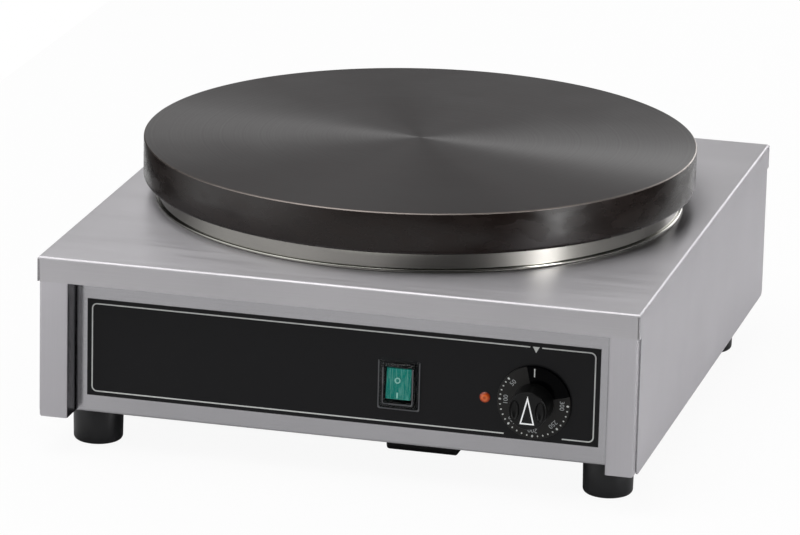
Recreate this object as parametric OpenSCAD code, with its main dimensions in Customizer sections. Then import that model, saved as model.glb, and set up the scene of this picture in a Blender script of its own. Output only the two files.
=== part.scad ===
// Electric crepe maker: a folded sheet casing on rubber feet, a round cast plate
// heated from below, and a recessed control panel at the front.
// Frame: origin on the floor under the plate's axis, +Z up, front towards -Y.

/* [Casing] */
// Width of the cover
top_w = 429; // [415:1:460]
// Depth of the cover's top
top_d = 462; // [445:1:500]
// Height of the top panel's upper face above the floor
top_z = 146; // [142:1:170]
// Thickness of the casing sheets
sheet = 1; // [0.8:0.1:1.3]
// Outside radius of the sheets' bends
bend_r = 2; // [1.6:0.1:2.6]
// Height of the skirts at the cover's front and back
skirt_h = 18; // [14:1:20]
// Gap between the cover and the walls inside it
skirt_gap = 0.2; // [0.1:0.05:0.4]
// Width of the open seam between a skirt and the cover's side wall
seam_w = 0.5; // [0.3:0.1:0.8]
// How far the cover's side walls stand back below the skirts
side_cut = 6; // [4:0.5:8]
// Rounding of the lower corners of the cover's side walls
side_round = 5; // [3:0.5:8]
// Width of each front pillar
pillar_w = 20.5; // [17:0.5:22.5]
// How far the front panel stands behind the pillars
recess = 19; // [14:1:24]
// Width of the weld flanges inside the casing
weld_flange = 12; // [10:1:14]
// Width of the side panels' bottom flanges, which carry the feet
foot_flange = 52; // [48:1:56]
// Depth of the bottom flanges of the front and back panels
screw_flange = 20; // [18:1:24]
// Gap left round the base plate
base_gap = 0.8; // [0.5:0.1:1.2]

/* [Feet] */
// Height of the feet
foot_h = 29; // [24:1:32]
// Radius of a foot at its top
foot_r = 18; // [15:0.5:18.5]
// Radius of a foot at its bottom
foot_bottom_r = 17.5; // [14.5:0.5:18]
// Rounding of a foot's bottom edge
foot_round = 3; // [2:0.5:4]
// Distance of the feet's axes inside the side walls
foot_inset = 28; // [26:0.5:30]
// Distance of the front feet's axes behind the pillars' faces
foot_front = 49.8; // [44:0.5:56]
// Distance of the back feet's axes in front of the back panel
foot_back = 59.8; // [44:0.5:64]

/* [Cooking plate] */
// Radius of the cooking plate
plate_r = 200; // [190:1:206]
// Height of the plate's rim
plate_h = 30; // [25:1:32]
// Thickness of the plate inside its rim
plate_t = 16; // [12:1:18]
// Width of the rim's lower edge
rim_w = 9; // [7:1:11]
// Rounding of the rim's lower outer edge
rim_round = 3; // [2:0.5:4]
// Chamfer of the plate's upper edge
edge_cut = 0.8; // [0.4:0.1:1.2]
// Height of the plate's lower edge above the top panel
plate_lift = 15.5; // [13:0.5:20]
// Radius of the bosses under the plate
boss_r = 8; // [7:0.5:9]
// Gap between the plate's rim and the ring inside it
ring_gap = 1.5; // [1:0.25:2]
// Thickness of the ring's wall
ring_t = 1; // [0.8:0.1:1.2]
// Radius of the rolled lip round the ring's foot
lip_r = 1.4; // [1.2:0.1:1.5]

/* [Heater] */
// Radius of the heating element's tube
tube_r = 4; // [3.25:0.25:4.5]
// Distance of the element's outer turn inside the pan's wall
turn_in = 20; // [18:1:23]
// Distance between the element's turns
turn_step = 45; // [43:1:46]
// Thickness of the element clamp
clamp_t = 3; // [2:0.5:4]
// Width of the element clamp's arms
clamp_w = 18; // [16:1:22]
// How far the clamp's arms reach past the element's outer turn
clamp_over = 7; // [6:1:10]
// Gap between the heat pan's rim and the ring round it
pan_side = 6.5; // [5:0.5:9]
// Depth of the heat pan below the top panel's upper face
pan_depth = 28; // [24:1:32]
// Width of the heat pan's rim
pan_rim = 11; // [8:1:12]
// Thickness of the insulation disc
insulation_t = 30; // [24:1:34]
// Width of the bridges under the pan
bridge_w = 30; // [26:1:34]
// Height of the bridges
bridge_h = 20; // [16:1:24]
// Thickness of the bridges
bridge_t = 1.5; // [1.2:0.1:2]

/* [Fasteners] */
// Radius of the plate studs
stud_r = 3; // [2.5:0.5:3]
// Radius of the foot screws
foot_screw_r = 3; // [2.5:0.5:3]
// Radius of the small screws
screw_r = 2; // [1.75:0.25:2]
// Radius of the small screws' heads
head_r = 3.8; // [3.6:0.1:4.2]
// Height of the small screws' heads
head_h = 2.6; // [2:0.1:3]
// Clearance of a hole round its screw
hole_gap = 0.2; // [0.1:0.05:0.4]
// Distance of the outer base screws from the foot flanges
base_screw_side = 9.3; // [8.5:0.1:30]
// Depth of the base screws behind the panel's face
base_screw_in = 9.8; // [9:0.1:13]

/* [Control panel] */
// Thickness of the control fascia
fascia_t = 0.5; // [0.3:0.1:0.8]
// Height of the control fascia
fascia_h = 70.6; // [66:0.1:72]
// Gap between the fascia and the pillars
fascia_side = 8.8; // [8:0.1:11]
// Height of the fascia's lower edge above the casing's
fascia_low = 13; // [11:0.1:14]
// Distance of the knob's axis from the fascia's right edge
knob_inset = 45.6; // [38:0.1:50]
// Height of the knob's axis above the fascia's lower edge
knob_up = 28.2; // [27:0.1:34]
// Distance of the lamp to the left of the knob
lamp_step = 35.1; // [34:0.1:42]
// Height of the lamp above the fascia's lower edge
lamp_up = 28; // [24:0.1:36]
// Distance of the switch to the left of the lamp
switch_step = 61.2; // [50:0.1:70]
// Height of the switch's middle above the fascia's lower edge
switch_up = 31; // [28:0.1:36]

/* [Knob] */
// Radius of the dial
dial_r = 26; // [24:0.5:27]
// Thickness of the dial
dial_t = 1.8; // [1.5:0.1:2.2]
// Gap between the fascia and the dial
dial_gap = 0.8; // [0.6:0.1:1.2]
// Radius of the grip at the dial
grip_r = 14; // [13:0.5:15]
// Radius of the grip at its front
grip_front_r = 13.4; // [12.8:0.1:13.8]
// Length of the grip
grip_l = 19.6; // [18:0.1:22]
// Width of the bar between the grip's finger hollows
bar_w = 11; // [10:0.5:12]
// Half the width of the finger hollows
hollow_r = 3.6; // [3:0.1:3.7]
// Half the height of the finger hollows
hollow_l = 7.4; // [5:0.2:7.8]
// Depth of the finger hollows
hollow_in = 3; // [2:0.1:6]
// Radius of the thermostat's shaft
shaft_r = 3; // [2.75:0.05:3.2]
// Running clearance of the shaft
shaft_fit = 0.05; // [0.03:0.01:0.08]
// Height of the shaft's flat above its axis
shaft_flat = 2.2; // [2:0.1:2.4]
// Wall of the knob's hub
hub_wall = 2.5; // [2:0.25:3]

/* [Thermostat] */
// Width of the thermostat's body
stat_w = 36; // [34:1:40]
// Height of the thermostat's body
stat_h = 38; // [36:1:42]
// Depth of the thermostat's body
stat_d = 24; // [22:1:30]
// Distance between the thermostat's screws
stat_pitch = 28; // [26:0.5:30]
// Radius of the thermostat's bush
bush_r = 5; // [4.5:0.25:5.5]
// Radius of the bulb
bulb_r = 3; // [2.5:0.25:3.25]
// Length of the bulb
bulb_l = 60; // [50:1:64]
// Radius of the capillary tube
capillary_r = 1; // [0.8:0.1:1.2]

/* [Switch] */
// Width of the switch's cut-out
cut_w = 22; // [21.5:0.1:22.5]
// Height of the switch's cut-out
cut_h = 28; // [27.5:0.1:28.5]
// Clearance of the switch in its cut-out
cut_gap = 0.1; // [0.05:0.05:0.2]
// Depth of the switch behind the fascia
switch_d = 26; // [22:1:30]
// Width of the switch's flange
flange_w = 23.6; // [23:0.1:24]
// Height of the switch's flange
flange_h = 30.4; // [30:0.1:31]
// Thickness of the switch's flange
flange_t = 1.5; // [1.2:0.1:1.5]
// Width of the rocker
rocker_w = 18; // [17:0.1:18]
// Height of the rocker's face
rocker_h = 22; // [20:0.1:22]
// Distance of the rocker's face in front of its pivot
rocker_face = 5; // [4.6:0.1:5]
// Depth of the rocker behind its pivot
rocker_back = 5; // [4:0.1:6]
// Depth of the pivot behind the fascia
pivot_in = 3; // [2.8:0.1:3.4]
// Tilt of the rocker at rest, half of its travel
rocker_tilt = 8; // [6:0.5:8]
// Gap round the rocker
rocker_gap = 0.4; // [0.35:0.05:0.5]
// Radius of the rocker's pin
pin_r = 1.25; // [1:0.05:1.5]
// Running clearance of the pin
pin_fit = 0.05; // [0.03:0.01:0.08]
// Width of the splash cover
cover_w = 30; // [29.5:0.1:32]
// Height of the splash cover
cover_h = 37; // [36.5:0.1:39]
// Width of the splash cover's window
window_w = 21.5; // [21:0.1:23]
// Height of the splash cover's window
window_h = 27.2; // [26.5:0.1:29]
// How far the splash cover stands out
cover_out = 5; // [5:0.1:6]
// Thickness of the splash cover
cover_t = 0.7; // [0.5:0.1:0.8]

/* [Lamp] */
// Radius of the lamp's lens
lens_r = 3.8; // [3.6:0.1:4.5]
// How far the lens stands out
lens_out = 2; // [1.5:0.1:3]
// Radius of the lens's stem
stem_r = 3.2; // [2.8:0.1:3.3]
// Radius of the lamp's body
lamp_r = 5; // [4.5:0.1:6]
// Length of the lamp's body
lamp_l = 20; // [16:1:26]

/* [Supply] */
// Distance of the cable gland to the right of the middle
gland_x = 120; // [100:1:150]
// Height of the cable gland above the casing's lower edge
gland_up = 30; // [26:1:50]
// Radius of the gland's thread
gland_r = 10; // [9:0.5:10]
// Radius of the cable's way through the gland
cable_r = 5.5; // [4.5:0.25:5.5]
// Width of the gland's hexagon across its flats
gland_hex = 24; // [24:0.5:27]
// Length of the gland's thread inside the casing
gland_in = 12; // [10:1:15]
// Length of the gland's nut
gland_nut_l = 18; // [16:1:22]
// Distance of the terminal cover's left side from the middle
cover_x = 26.5; // [20:0.5:40]
// Distance of the terminal cover behind the front panel
cover_in = 24.8; // [24:0.1:40]
// Width of the terminal cover
box_w = 53; // [46:0.1:56]
// Depth of the terminal cover
box_d = 60; // [56:1:70]
// How far the terminal cover hangs below the base plate
box_h = 14.8; // [11:0.1:16]
// Wall of the terminal cover
box_wall = 2; // [1.5:0.1:2.5]
// Rounding of the terminal cover's corners
box_round = 5; // [3:0.5:5.5]
// Width of a terminal block
block_w = 42; // [38:1:48]
// Depth of a terminal block
block_d = 22; // [18:1:26]
// Height of a terminal block
block_h = 18; // [14:1:22]
// Radius of the wires' insulation
wire_r = 1.4; // [1:0.1:1.6]

/* [Vents] */
// Width of a vent slot
slot_w = 5; // [4:0.5:6]
// Length of a vent slot
slot_l = 40; // [30:1:46]
// Distance between vent slots
slot_step = 12; // [10:1:16]
// Number of slots in each row
slot_count = 8; // [4:1:9]

/* [Hidden] */
$fn = 64;

// Casing planes
case_z = foot_h;                                 // lower edge of the casing
roof_z = top_z - sheet;                          // underside of the top panel
side_x = top_w / 2 - sheet - skirt_gap;          // outer face of a side panel, inside the cover
pillar_y = -(top_d / 2 - sheet - skirt_gap);     // front face of the pillars
rear_y = top_d / 2 - sheet - skirt_gap;          // outer face of the back panel
front_y = pillar_y + recess;                     // front face of the front panel
mouth_x = side_x - pillar_w;                     // half width of the recess
inner_x = side_x - sheet;                        // inner face of a side panel
floor_z = case_z + 2 * sheet;                    // upper face of the base plate
flange_x = side_x - foot_flange;                 // inner edge of a foot flange
apron_x = flange_x - base_gap;                   // half width of the screw flanges
back_screw_x = side_x - 10;
back_screw_z = [case_z + 18, top_z - skirt_h - 12];
base_screw_x = flange_x - base_screw_side;
base_screw_xs = [-base_screw_x, 0, base_screw_x];
base_screw_ys = [front_y + base_screw_in, rear_y - base_screw_in];

// Feet
foot_x = side_x - foot_inset;
foot_y = [pillar_y + foot_front, rear_y - foot_back];
foot_nut_h = 5;
foot_sink = 16;                                  // depth of the well for the screw's head

// Plate and heater
rim_z = top_z + plate_lift;                      // lower edge of the plate's rim
plate_top = rim_z + plate_h;
plate_z = plate_top - plate_t;                   // underside of the plate
ring_r = plate_r - rim_w - ring_gap;             // outside of the ring's wall
tube_z = plate_z - tube_r;                       // axis of the element's turns
clamp_z = tube_z - tube_r;                       // upper face of the clamp
pan_z = top_z - pan_depth;                       // underside of the pan
stud_nut_h = 5;
stud_angles = [45, 135, 225, 315];
pan_r = ring_r - ring_t - pan_side - pan_rim - sheet;  // inside of the pan's wall
turn_r = pan_r - turn_in;                        // the element's outer turn
stud_circle = turn_r - 1.5 * turn_step;          // the studs stand between two turns
stud_x = stud_circle * cos(45);
clamp_l = turn_r + clamp_over;                   // length of the clamp's arms from the plate's axis
insulation_gap = 0.4;
pan_gap = 1.5;                                   // gap round the pan in the top panel
turns = [[turn_r, 275, 320], [turn_r - turn_step, 305, 290], [turn_r - 2 * turn_step, 305, 250]];
elbow_r = 2 * tube_r;
lead_l = elbow_r + tube_z - pan_z;               // lets the leads stand below the pan
lead_ends = [                                    // feet of the two leads, under the pan
    for (e = [[turn_r, turns[0][1], -1], [turns[2][0], turns[2][1] + turns[2][2], 1]])
        [e[0] * cos(e[1]) - e[2] * elbow_r * sin(e[1]), e[0] * sin(e[1]) + e[2] * elbow_r * cos(e[1]),
         tube_z - lead_l]
];
bulb_y = -(turn_r - turn_step / 2);
bulb_screw_y = -stud_circle;
capillary_x = bulb_l / 2 + 18;
clip_over = 8;                                   // how far the bulb clip reaches past its screw

// Controls, seen from the front
fascia_w = 2 * (mouth_x - fascia_side);
fascia_z = case_z + fascia_low;
face_y = front_y - fascia_t;                     // front face of the fascia
knob_x = fascia_w / 2 - knob_inset;
knob_z = fascia_z + knob_up;
lamp_x = knob_x - lamp_step;
lamp_z = fascia_z + lamp_up;
switch_x = lamp_x - switch_step;
switch_z = fascia_z + switch_up;
panel_back = -fascia_t - sheet;                  // rear of the panel behind the fascia's face
dial_back = dial_gap;
dial_front = dial_gap + dial_t;
grip_front = dial_front + grip_l;
knob_hollow = 11;                                // depth of the hollow behind the grip
shaft_end = 18;
stat_back = front_y + sheet + stat_d;            // rear face of the thermostat
stat_loop = 12;                                  // how far behind it the capillary tube bends
rocker_r = norm([rocker_h / 2, rocker_face]);    // sweep of the rocker's corners
blade = [0.8, 6.3, 8];

// Supply
gland_z = case_z + gland_up;
box_y = front_y + cover_in;
box_x = [cover_x, cover_x + box_w];
box_top = case_z + sheet;                        // underside of the base plate
post_in = 7;                                     // distance of a post's axis from the walls
post_r = 4.5;
block_x = cover_x + (box_w - block_w) / 2;
block_y = box_y + box_d + 8;
box_posts = [[box_x[0] + post_in, box_y + post_in], [box_x[1] - post_in, box_y + box_d - post_in]];
block_screw_xs = [block_x + block_w / 3, block_x + block_w * 2 / 3];
block_top = floor_z + block_h / 2 - 2;           // height of the block's wire holes
earth_x = block_x + block_w + 18;
earth_y = block_y + block_d / 2;
terminal_x = [for (i = [0:2]) block_x + block_w * (i + 0.5) / 3];
terminal_run = [14, 10, 8];                      // straight runs of the wires from the block
blade_y = face_y + switch_d + blade[2];          // rear end of the switch's blades
blade_x = 5;                                     // blades at each side of the switch's middle
blade_z = 8;
blade_run = [12, 18];                            // straight runs of the wires from the blades
stat_side = 10;                                  // wires' distance from the shaft's axis
plug_in = 3;                                     // how deep a wire sits in an insulator
earth_nut = 3;                                   // height of the earth stud's nuts
earth_gap = 1.5;                                 // room for the cable's tag between them
joint_size = 1.15;                               // size of the ball at a wire's or tube's corner
slot_z = (case_z + top_z - skirt_h) / 2;

// A rounded rectangle whose corners are true arcs
module round_rect(w, h, r) {
    square([w - 2 * r, h], center = true);
    square([w, h - 2 * r], center = true);
    for (sx = [-1, 1], sy = [-1, 1])
        translate([sx * (w / 2 - r), sy * (h / 2 - r)]) circle(r = r, $fn = 48);
}

// A block between two corners
module block(low, high) {
    translate(low) cube(high - low);
}

// A round bar from one point to another
module rod(a, b, r) {
    way = b - a;
    translate(a)
        rotate([0, acos(way[2] / norm(way)), atan2(way[1], way[0])])
            cylinder(r = r, h = norm(way), $fn = 24);
}

// A bent wire through a list of points, with a ball at each corner
module wire(points, r) {
    for (i = [0:len(points) - 2]) rod(points[i], points[i + 1], r);
    for (i = [1:len(points) - 2]) translate(points[i]) sphere(r = r * joint_size, $fn = 24);
}

// A hexagonal prism measured across its flats
module hexagon(flats, h) {
    cylinder(r = flats / 2 / cos(30), h = h, $fn = 6);
}

// A hexagonal nut with its thread's bore
module nut(flats, h, r) {
    difference() {
        hexagon(flats, h);
        translate([0, 0, -1]) cylinder(r = r, h = h + 2);
    }
}

// A pan-head screw that points up, with its head below z = 0
module pan_screw(l, r = screw_r, head = head_r, high = head_h) {
    cylinder(r = r, h = l);
    difference() {
        intersection() {
            translate([0, 0, -high]) cylinder(r = head, h = high);
            translate([0, 0, head * 1.4 - high]) sphere(r = head * 1.4);
        }
        for (turn = [0, 90]) rotate(turn)
            block([-head * 0.6, -0.5, -high - 1], [head * 0.6, 0.5, 1 - high]);
    }
}

// A slot with round ends, standing upright, cut along Y
module slot(w, l) {
    rotate([90, 0, 0]) linear_extrude(height = 10, center = true) {
        square([w, l - w], center = true);
        for (s = [-1, 1]) translate([0, s * (l - w) / 2]) circle(d = w, $fn = 24);
    }
}

// Places a piece on the control panel: its +Z points out of the fascia, +Y up
module on_panel(x, z) {
    translate([x, face_y, z]) rotate([90, 0, 0]) children();
}

// Places a piece on the back panel: its +Z points out of the panel
module on_back(x, z) {
    translate([x, rear_y, z]) rotate([-90, 0, 0]) children();
}

// A closed box whose lengthwise and upright edges have the sheets' bend radius
module bent_box(low, high, r) {
    size = high - low;
    translate((low + high) / 2) intersection() {
        linear_extrude(height = size[2], center = true) round_rect(size[0], size[1], r);
        rotate([90, 0, 0]) linear_extrude(height = size[1], center = true) round_rect(size[0], size[2], r);
    }
}

// A tray's body, open nowhere: both pairs of upper edges have the bend radius
module tray_body(w, d, h, r) {
    intersection() {
        rotate([90, 0, 0]) linear_extrude(height = d, center = true) round_rect(w, 2 * h, r);
        rotate([90, 0, 90]) linear_extrude(height = w, center = true) round_rect(d, 2 * h, r);
        block([-w / 2, -d / 2, 0], [w / 2, d / 2, h]);
    }
}

// Casing

// The outline of a side wall of the cover, seen from its side: its lower corners are round
module cover_side() {
    reach = top_d / 2 - side_cut;
    high = top_z - bend_r;                       // runs up into the bend to the top
    translate([-reach, case_z + side_round]) square([2 * reach, high - case_z - side_round]);
    translate([side_round - reach, case_z]) square([2 * (reach - side_round), side_round]);
    for (s = [-1, 1]) translate([s * (reach - side_round), case_z + side_round])
        circle(r = side_round, $fn = 48);
}

// The cover: one sheet with the top, a low skirt in front and behind, and full-height side walls
module top_panel() {
    color("#c9c9ce") difference() {
        union() {
            translate([0, 0, top_z - skirt_h]) tray_body(top_w, top_d, skirt_h, bend_r);
            for (x = [-top_w / 2, top_w / 2 - sheet]) translate([x, 0, 0])
                rotate([90, 0, 90]) linear_extrude(height = sheet) cover_side();
        }
        translate([0, 0, top_z - skirt_h - 1])
            tray_body(top_w - 2 * sheet, top_d - 2 * sheet, skirt_h - sheet + 1, bend_r - sheet);
        translate([0, 0, roof_z - 1]) cylinder(r = pan_r + sheet + pan_gap, h = sheet + 2, $fn = 128);
        for (sx = [-1, 1], sy = [-1, 1])
            translate([sx * (top_w / 2 - sheet - seam_w / 2), sy * top_d / 2, top_z - skirt_h - 1])
                block([-seam_w / 2, -2 * sheet, 0], [seam_w / 2, 2 * sheet, skirt_h + 1 - bend_r]);
    }
}

// The right side panel; the left one is its mirror image
module side_panel() {
    difference() {
        bent_box([flange_x - 20, pillar_y, case_z], [side_x, rear_y - sheet, roof_z], bend_r);
        bent_box([flange_x - 30, pillar_y + sheet, case_z + sheet],
                 [inner_x, rear_y - 2 * sheet, roof_z - sheet], bend_r - sheet);
        block([flange_x - 40, pillar_y - 1, case_z + sheet], [mouth_x, rear_y + 1, roof_z + 1]);
        block([flange_x - 40, pillar_y - 1, case_z - 1], [mouth_x, front_y + sheet, roof_z]);
        block([flange_x - 40, pillar_y - 1, case_z - 1], [flange_x, rear_y + 1, roof_z]);
        for (y = foot_y) translate([foot_x, y, case_z - 1])
            cylinder(r = foot_screw_r + hole_gap, h = sheet + 2);
        for (z = back_screw_z) translate([back_screw_x, rear_y - sheet, z])
            rotate([90, 0, 0]) cylinder(r = screw_r, h = 3 * sheet, center = true);
    }
    block([mouth_x, pillar_y + bend_r, case_z],
          [mouth_x + sheet, front_y + weld_flange, roof_z - sheet]);
    // the bend between the pillar's face and its return
    intersection() {
        difference() {
            bent_box([mouth_x, pillar_y, case_z],
                     [mouth_x + 3 * bend_r, pillar_y + 3 * bend_r, roof_z], bend_r);
            bent_box([mouth_x + sheet, pillar_y + sheet, case_z - 5],
                     [mouth_x + 4 * bend_r, pillar_y + 4 * bend_r, roof_z + 5], bend_r - sheet);
        }
        block([mouth_x, pillar_y, case_z], [mouth_x + bend_r, pillar_y + bend_r, roof_z - sheet]);
    }
}

module left_side_panel() {
    color("#c6c6ca") mirror([1, 0, 0]) side_panel();
}

module right_side_panel() {
    color("#c6c6ca") side_panel();
}

// The front panel's tray, standing on edge: its wall in front, its flanges behind
module standing_tray() {
    long = 3 * screw_flange;                     // the uncut box, open behind once it is cut back
    translate([0, front_y, 0]) difference() {
        intersection() {
            bent_box([-mouth_x, 0, case_z], [mouth_x, long, roof_z], bend_r);
            translate([0, long / 2, (case_z + roof_z) / 2]) rotate([90, 0, 90])
                linear_extrude(height = 2 * mouth_x, center = true)
                    round_rect(long, roof_z - case_z, bend_r);
        }
        bent_box([sheet - mouth_x, sheet, case_z + sheet], [mouth_x - sheet, long + bend_r, roof_z - sheet],
                 bend_r - sheet);
        block([-mouth_x - 1, screw_flange, case_z - 1], [mouth_x + 1, long + 1, roof_z + 1]);
        block([-mouth_x - 1, weld_flange, case_z + sheet], [mouth_x + 1, long + 1, roof_z + 1]);
        for (s = [-1, 1])
            block([s > 0 ? apron_x : -mouth_x - 1, sheet, case_z - 1],
                  [s > 0 ? mouth_x + 1 : -apron_x, screw_flange + 1, case_z + sheet]);
    }
}

module front_panel() {
    color("#c2c2c6") difference() {
        standing_tray();
        on_panel(switch_x, switch_z) translate([0, 0, -5]) linear_extrude(height = 10)
            square([cut_w, cut_h], center = true);
        on_panel(lamp_x, lamp_z) cylinder(r = stem_r + hole_gap, h = 10, center = true);
        on_panel(knob_x, knob_z) cylinder(r = bush_r + hole_gap, h = 10, center = true);
        for (s = [-1, 1]) on_panel(knob_x, knob_z + s * stat_pitch / 2)
            cylinder(r = screw_r, h = 10, center = true);
        for (x = base_screw_xs) translate([x, front_y + base_screw_in, case_z - 1])
            cylinder(r = screw_r + hole_gap, h = 4);
    }
}

module control_fascia() {
    color("#202024") difference() {
        on_panel(0, fascia_z + fascia_h / 2) translate([0, 0, -fascia_t]) linear_extrude(height = fascia_t)
            square([fascia_w, fascia_h], center = true);
        on_panel(switch_x, switch_z) translate([0, 0, -5]) linear_extrude(height = 10)
            square([cut_w, cut_h], center = true);
        on_panel(lamp_x, lamp_z) cylinder(r = stem_r + hole_gap, h = 10, center = true);
        on_panel(knob_x, knob_z) cylinder(r = stat_pitch / 2 + head_r + 1, h = 10, center = true);
    }
}

module back_panel() {
    color("#c2c2c6") difference() {
        union() {
            block([-side_x, rear_y - sheet, case_z], [side_x, rear_y, roof_z - bend_r + sheet]);
            block([-apron_x, rear_y - screw_flange, case_z], [apron_x, rear_y - sheet / 2, case_z + sheet]);
        }
        for (side = [-1, 1], i = [0:slot_count - 1])
            translate([side * (slot_step / 2 + slot_step * i), rear_y, slot_z + 6]) slot(slot_w, slot_l);
        on_back(gland_x, gland_z) cylinder(r = gland_r + hole_gap, h = 10, center = true);
        for (s = [-1, 1], z = back_screw_z) on_back(s * back_screw_x, z)
            cylinder(r = screw_r + hole_gap, h = 10, center = true);
        for (x = base_screw_xs) translate([x, rear_y - base_screw_in, case_z - 1])
            cylinder(r = screw_r + hole_gap, h = 4);
    }
}

module base_plate() {
    color("#b4b4b8") difference() {
        block([base_gap - inner_x, front_y + sheet + base_gap, case_z + sheet],
              [inner_x - base_gap, rear_y - 2 * sheet - base_gap, floor_z]);
        for (s = [-1, 1])
            block([s > 0 ? mouth_x - sheet - base_gap : -side_x, pillar_y, case_z],
                  [s > 0 ? side_x : sheet + base_gap - mouth_x,
                   front_y + weld_flange + base_gap, floor_z + 1]);
        block([box_x[0] + box_wall + 4, box_y + post_in + post_r + 2, case_z],
              [box_x[1] - box_wall - 4, box_y + box_d - post_in - post_r - 2, floor_z + 1]);
        for (p = box_posts) translate([p[0], p[1], case_z]) cylinder(r = screw_r, h = 5);
        for (x = base_screw_xs, y = base_screw_ys) translate([x, y, case_z])
            cylinder(r = screw_r + hole_gap, h = 5);
        for (s = [-1, 1], y = foot_y) translate([s * foot_x, y, case_z])
            cylinder(r = foot_screw_r + hole_gap, h = 5);
        for (x = block_screw_xs) translate([x, earth_y, case_z]) cylinder(r = screw_r, h = 5);
        translate([earth_x, earth_y, case_z]) cylinder(r = screw_r, h = 5);
        for (i = [0:slot_count - 1]) translate([-slot_step * (i + 1), 0, floor_z])
            rotate([90, 0, 0]) slot(slot_w, slot_l);
    }
}

module base_screws() {
    color("#9a9a9e") for (x = base_screw_xs, y = base_screw_ys)
        translate([x, y, case_z]) pan_screw(2 * sheet + 5);
}

module base_nuts() {
    color("#9a9a9e") for (x = base_screw_xs, y = base_screw_ys)
        translate([x, y, floor_z]) nut(7, 3.2, screw_r);
}

module back_panel_screws() {
    color("#9a9a9e") for (s = [-1, 1], z = back_screw_z)
        on_back(s * back_screw_x, z) rotate([180, 0, 0]) pan_screw(6);
}

// The cover's outer body: round upright corners and round lower edges
module cover_body(inset, r) {
    w = box_w - 2 * inset;
    d = box_d - 2 * inset;
    h = box_h - inset;
    translate([(box_x[0] + box_x[1]) / 2, box_y + box_d / 2, box_top - h]) intersection() {
        linear_extrude(height = h) round_rect(w, d, r);
        translate([0, 0, h]) rotate([90, 0, 0])
            linear_extrude(height = d, center = true) round_rect(w, 2 * h, r);
        translate([0, 0, h]) rotate([90, 0, 90])
            linear_extrude(height = w, center = true) round_rect(d, 2 * h, r);
    }
}

module terminal_cover() {
    color("#1c1c1e") difference() {
        union() {
            difference() {
                cover_body(0, box_round);
                translate([0, 0, 0.01]) cover_body(box_wall, box_round - box_wall / 2);
            }
            for (p = box_posts) translate([p[0], p[1], box_top - box_h + box_wall / 2])
                cylinder(r = post_r, h = box_h - box_wall / 2);
        }
        for (p = box_posts) translate([p[0], p[1], box_top - box_h - 1]) {
            cylinder(r = screw_r + hole_gap, h = box_h + 2);
            cylinder(r = head_r + hole_gap, h = 1 + head_h);
        }
    }
}

module terminal_cover_screws() {
    color("#77777a") for (p = box_posts)
        translate([p[0], p[1], box_top - box_h + head_h]) pan_screw(box_h);
}

// Feet

module foot(x, y) {
    color("#26262a") translate([x, y, 0]) difference() {
        rotate_extrude($fn = 96) {
            polygon([[0, 0], [foot_bottom_r - foot_round, 0], [foot_bottom_r - foot_round, foot_round],
                     [foot_bottom_r, foot_round], [foot_r, foot_h], [0, foot_h]]);
            intersection() {
                translate([foot_bottom_r - foot_round, foot_round]) circle(r = foot_round, $fn = 48);
                square([foot_bottom_r, foot_round]);
            }
        }
        translate([0, 0, -1]) cylinder(r = foot_screw_r + hole_gap, h = foot_h + 2);
        translate([0, 0, -1]) cylinder(r = 2.2 * foot_screw_r, h = foot_sink + 1);
    }
}

module foot_front_left() {
    foot(-foot_x, foot_y[0]);
}

module foot_front_right() {
    foot(foot_x, foot_y[0]);
}

module foot_back_left() {
    foot(-foot_x, foot_y[1]);
}

module foot_back_right() {
    foot(foot_x, foot_y[1]);
}

module foot_screws() {
    color("#9a9a9e") for (s = [-1, 1], y = foot_y) translate([s * foot_x, y, foot_sink])
        pan_screw(floor_z - foot_sink + foot_nut_h + 2, foot_screw_r, 1.9 * foot_screw_r, 4);
}

module foot_nuts() {
    color("#9a9a9e") for (s = [-1, 1], y = foot_y) translate([s * foot_x, y, floor_z])
        nut(10, foot_nut_h, foot_screw_r);
}

// Cooking plate and heater

module cooking_plate() {
    rim_in = plate_r - rim_w;
    color("#35302f") difference() {
        union() {
            difference() {
                rotate_extrude($fn = 180) {
                    polygon([[0, rim_z], [plate_r - rim_round, rim_z],
                             [plate_r - rim_round, rim_z + rim_round],
                             [plate_r, rim_z + rim_round], [plate_r, plate_top - edge_cut],
                             [plate_r - edge_cut, plate_top], [0, plate_top]]);
                    intersection() {
                        translate([plate_r - rim_round, rim_z + rim_round]) circle(r = rim_round, $fn = 48);
                        translate([0, rim_z]) square([plate_r, rim_round]);
                    }
                }
                translate([0, 0, rim_z - 1]) cylinder(r = rim_in, h = plate_z - rim_z + 1, $fn = 180);
            }
            for (a = stud_angles) rotate(a) translate([stud_circle, 0, clamp_z])
                cylinder(r = boss_r, h = plate_z - clamp_z + 1);
            translate([0, bulb_screw_y, clamp_z]) cylinder(r = boss_r - 1, h = plate_z - clamp_z + 1);
        }
        for (a = stud_angles) rotate(a) translate([stud_circle, 0, clamp_z - 1])
            cylinder(r = stud_r, h = plate_z - clamp_z + 2);
        translate([0, bulb_screw_y, clamp_z - 1]) cylinder(r = screw_r, h = plate_z - clamp_z + 1);
    }
}

// The ring's wall runs straight down into a rolled lip
module plate_ring() {
    color("#d0d0d4") rotate_extrude($fn = 180) {
        translate([ring_r - ring_t, top_z]) square([ring_t, plate_z - top_z]);
        translate([ring_r + lip_r * 0.35, top_z + lip_r]) circle(r = lip_r, $fn = 48);
    }
}

// A round arc of the element's tube in the plane of its turns
module turn(r, start, sweep) {
    rotate(start) rotate_extrude(angle = sweep, $fn = 128) translate([r, 0]) circle(r = tube_r, $fn = 32);
}

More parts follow.
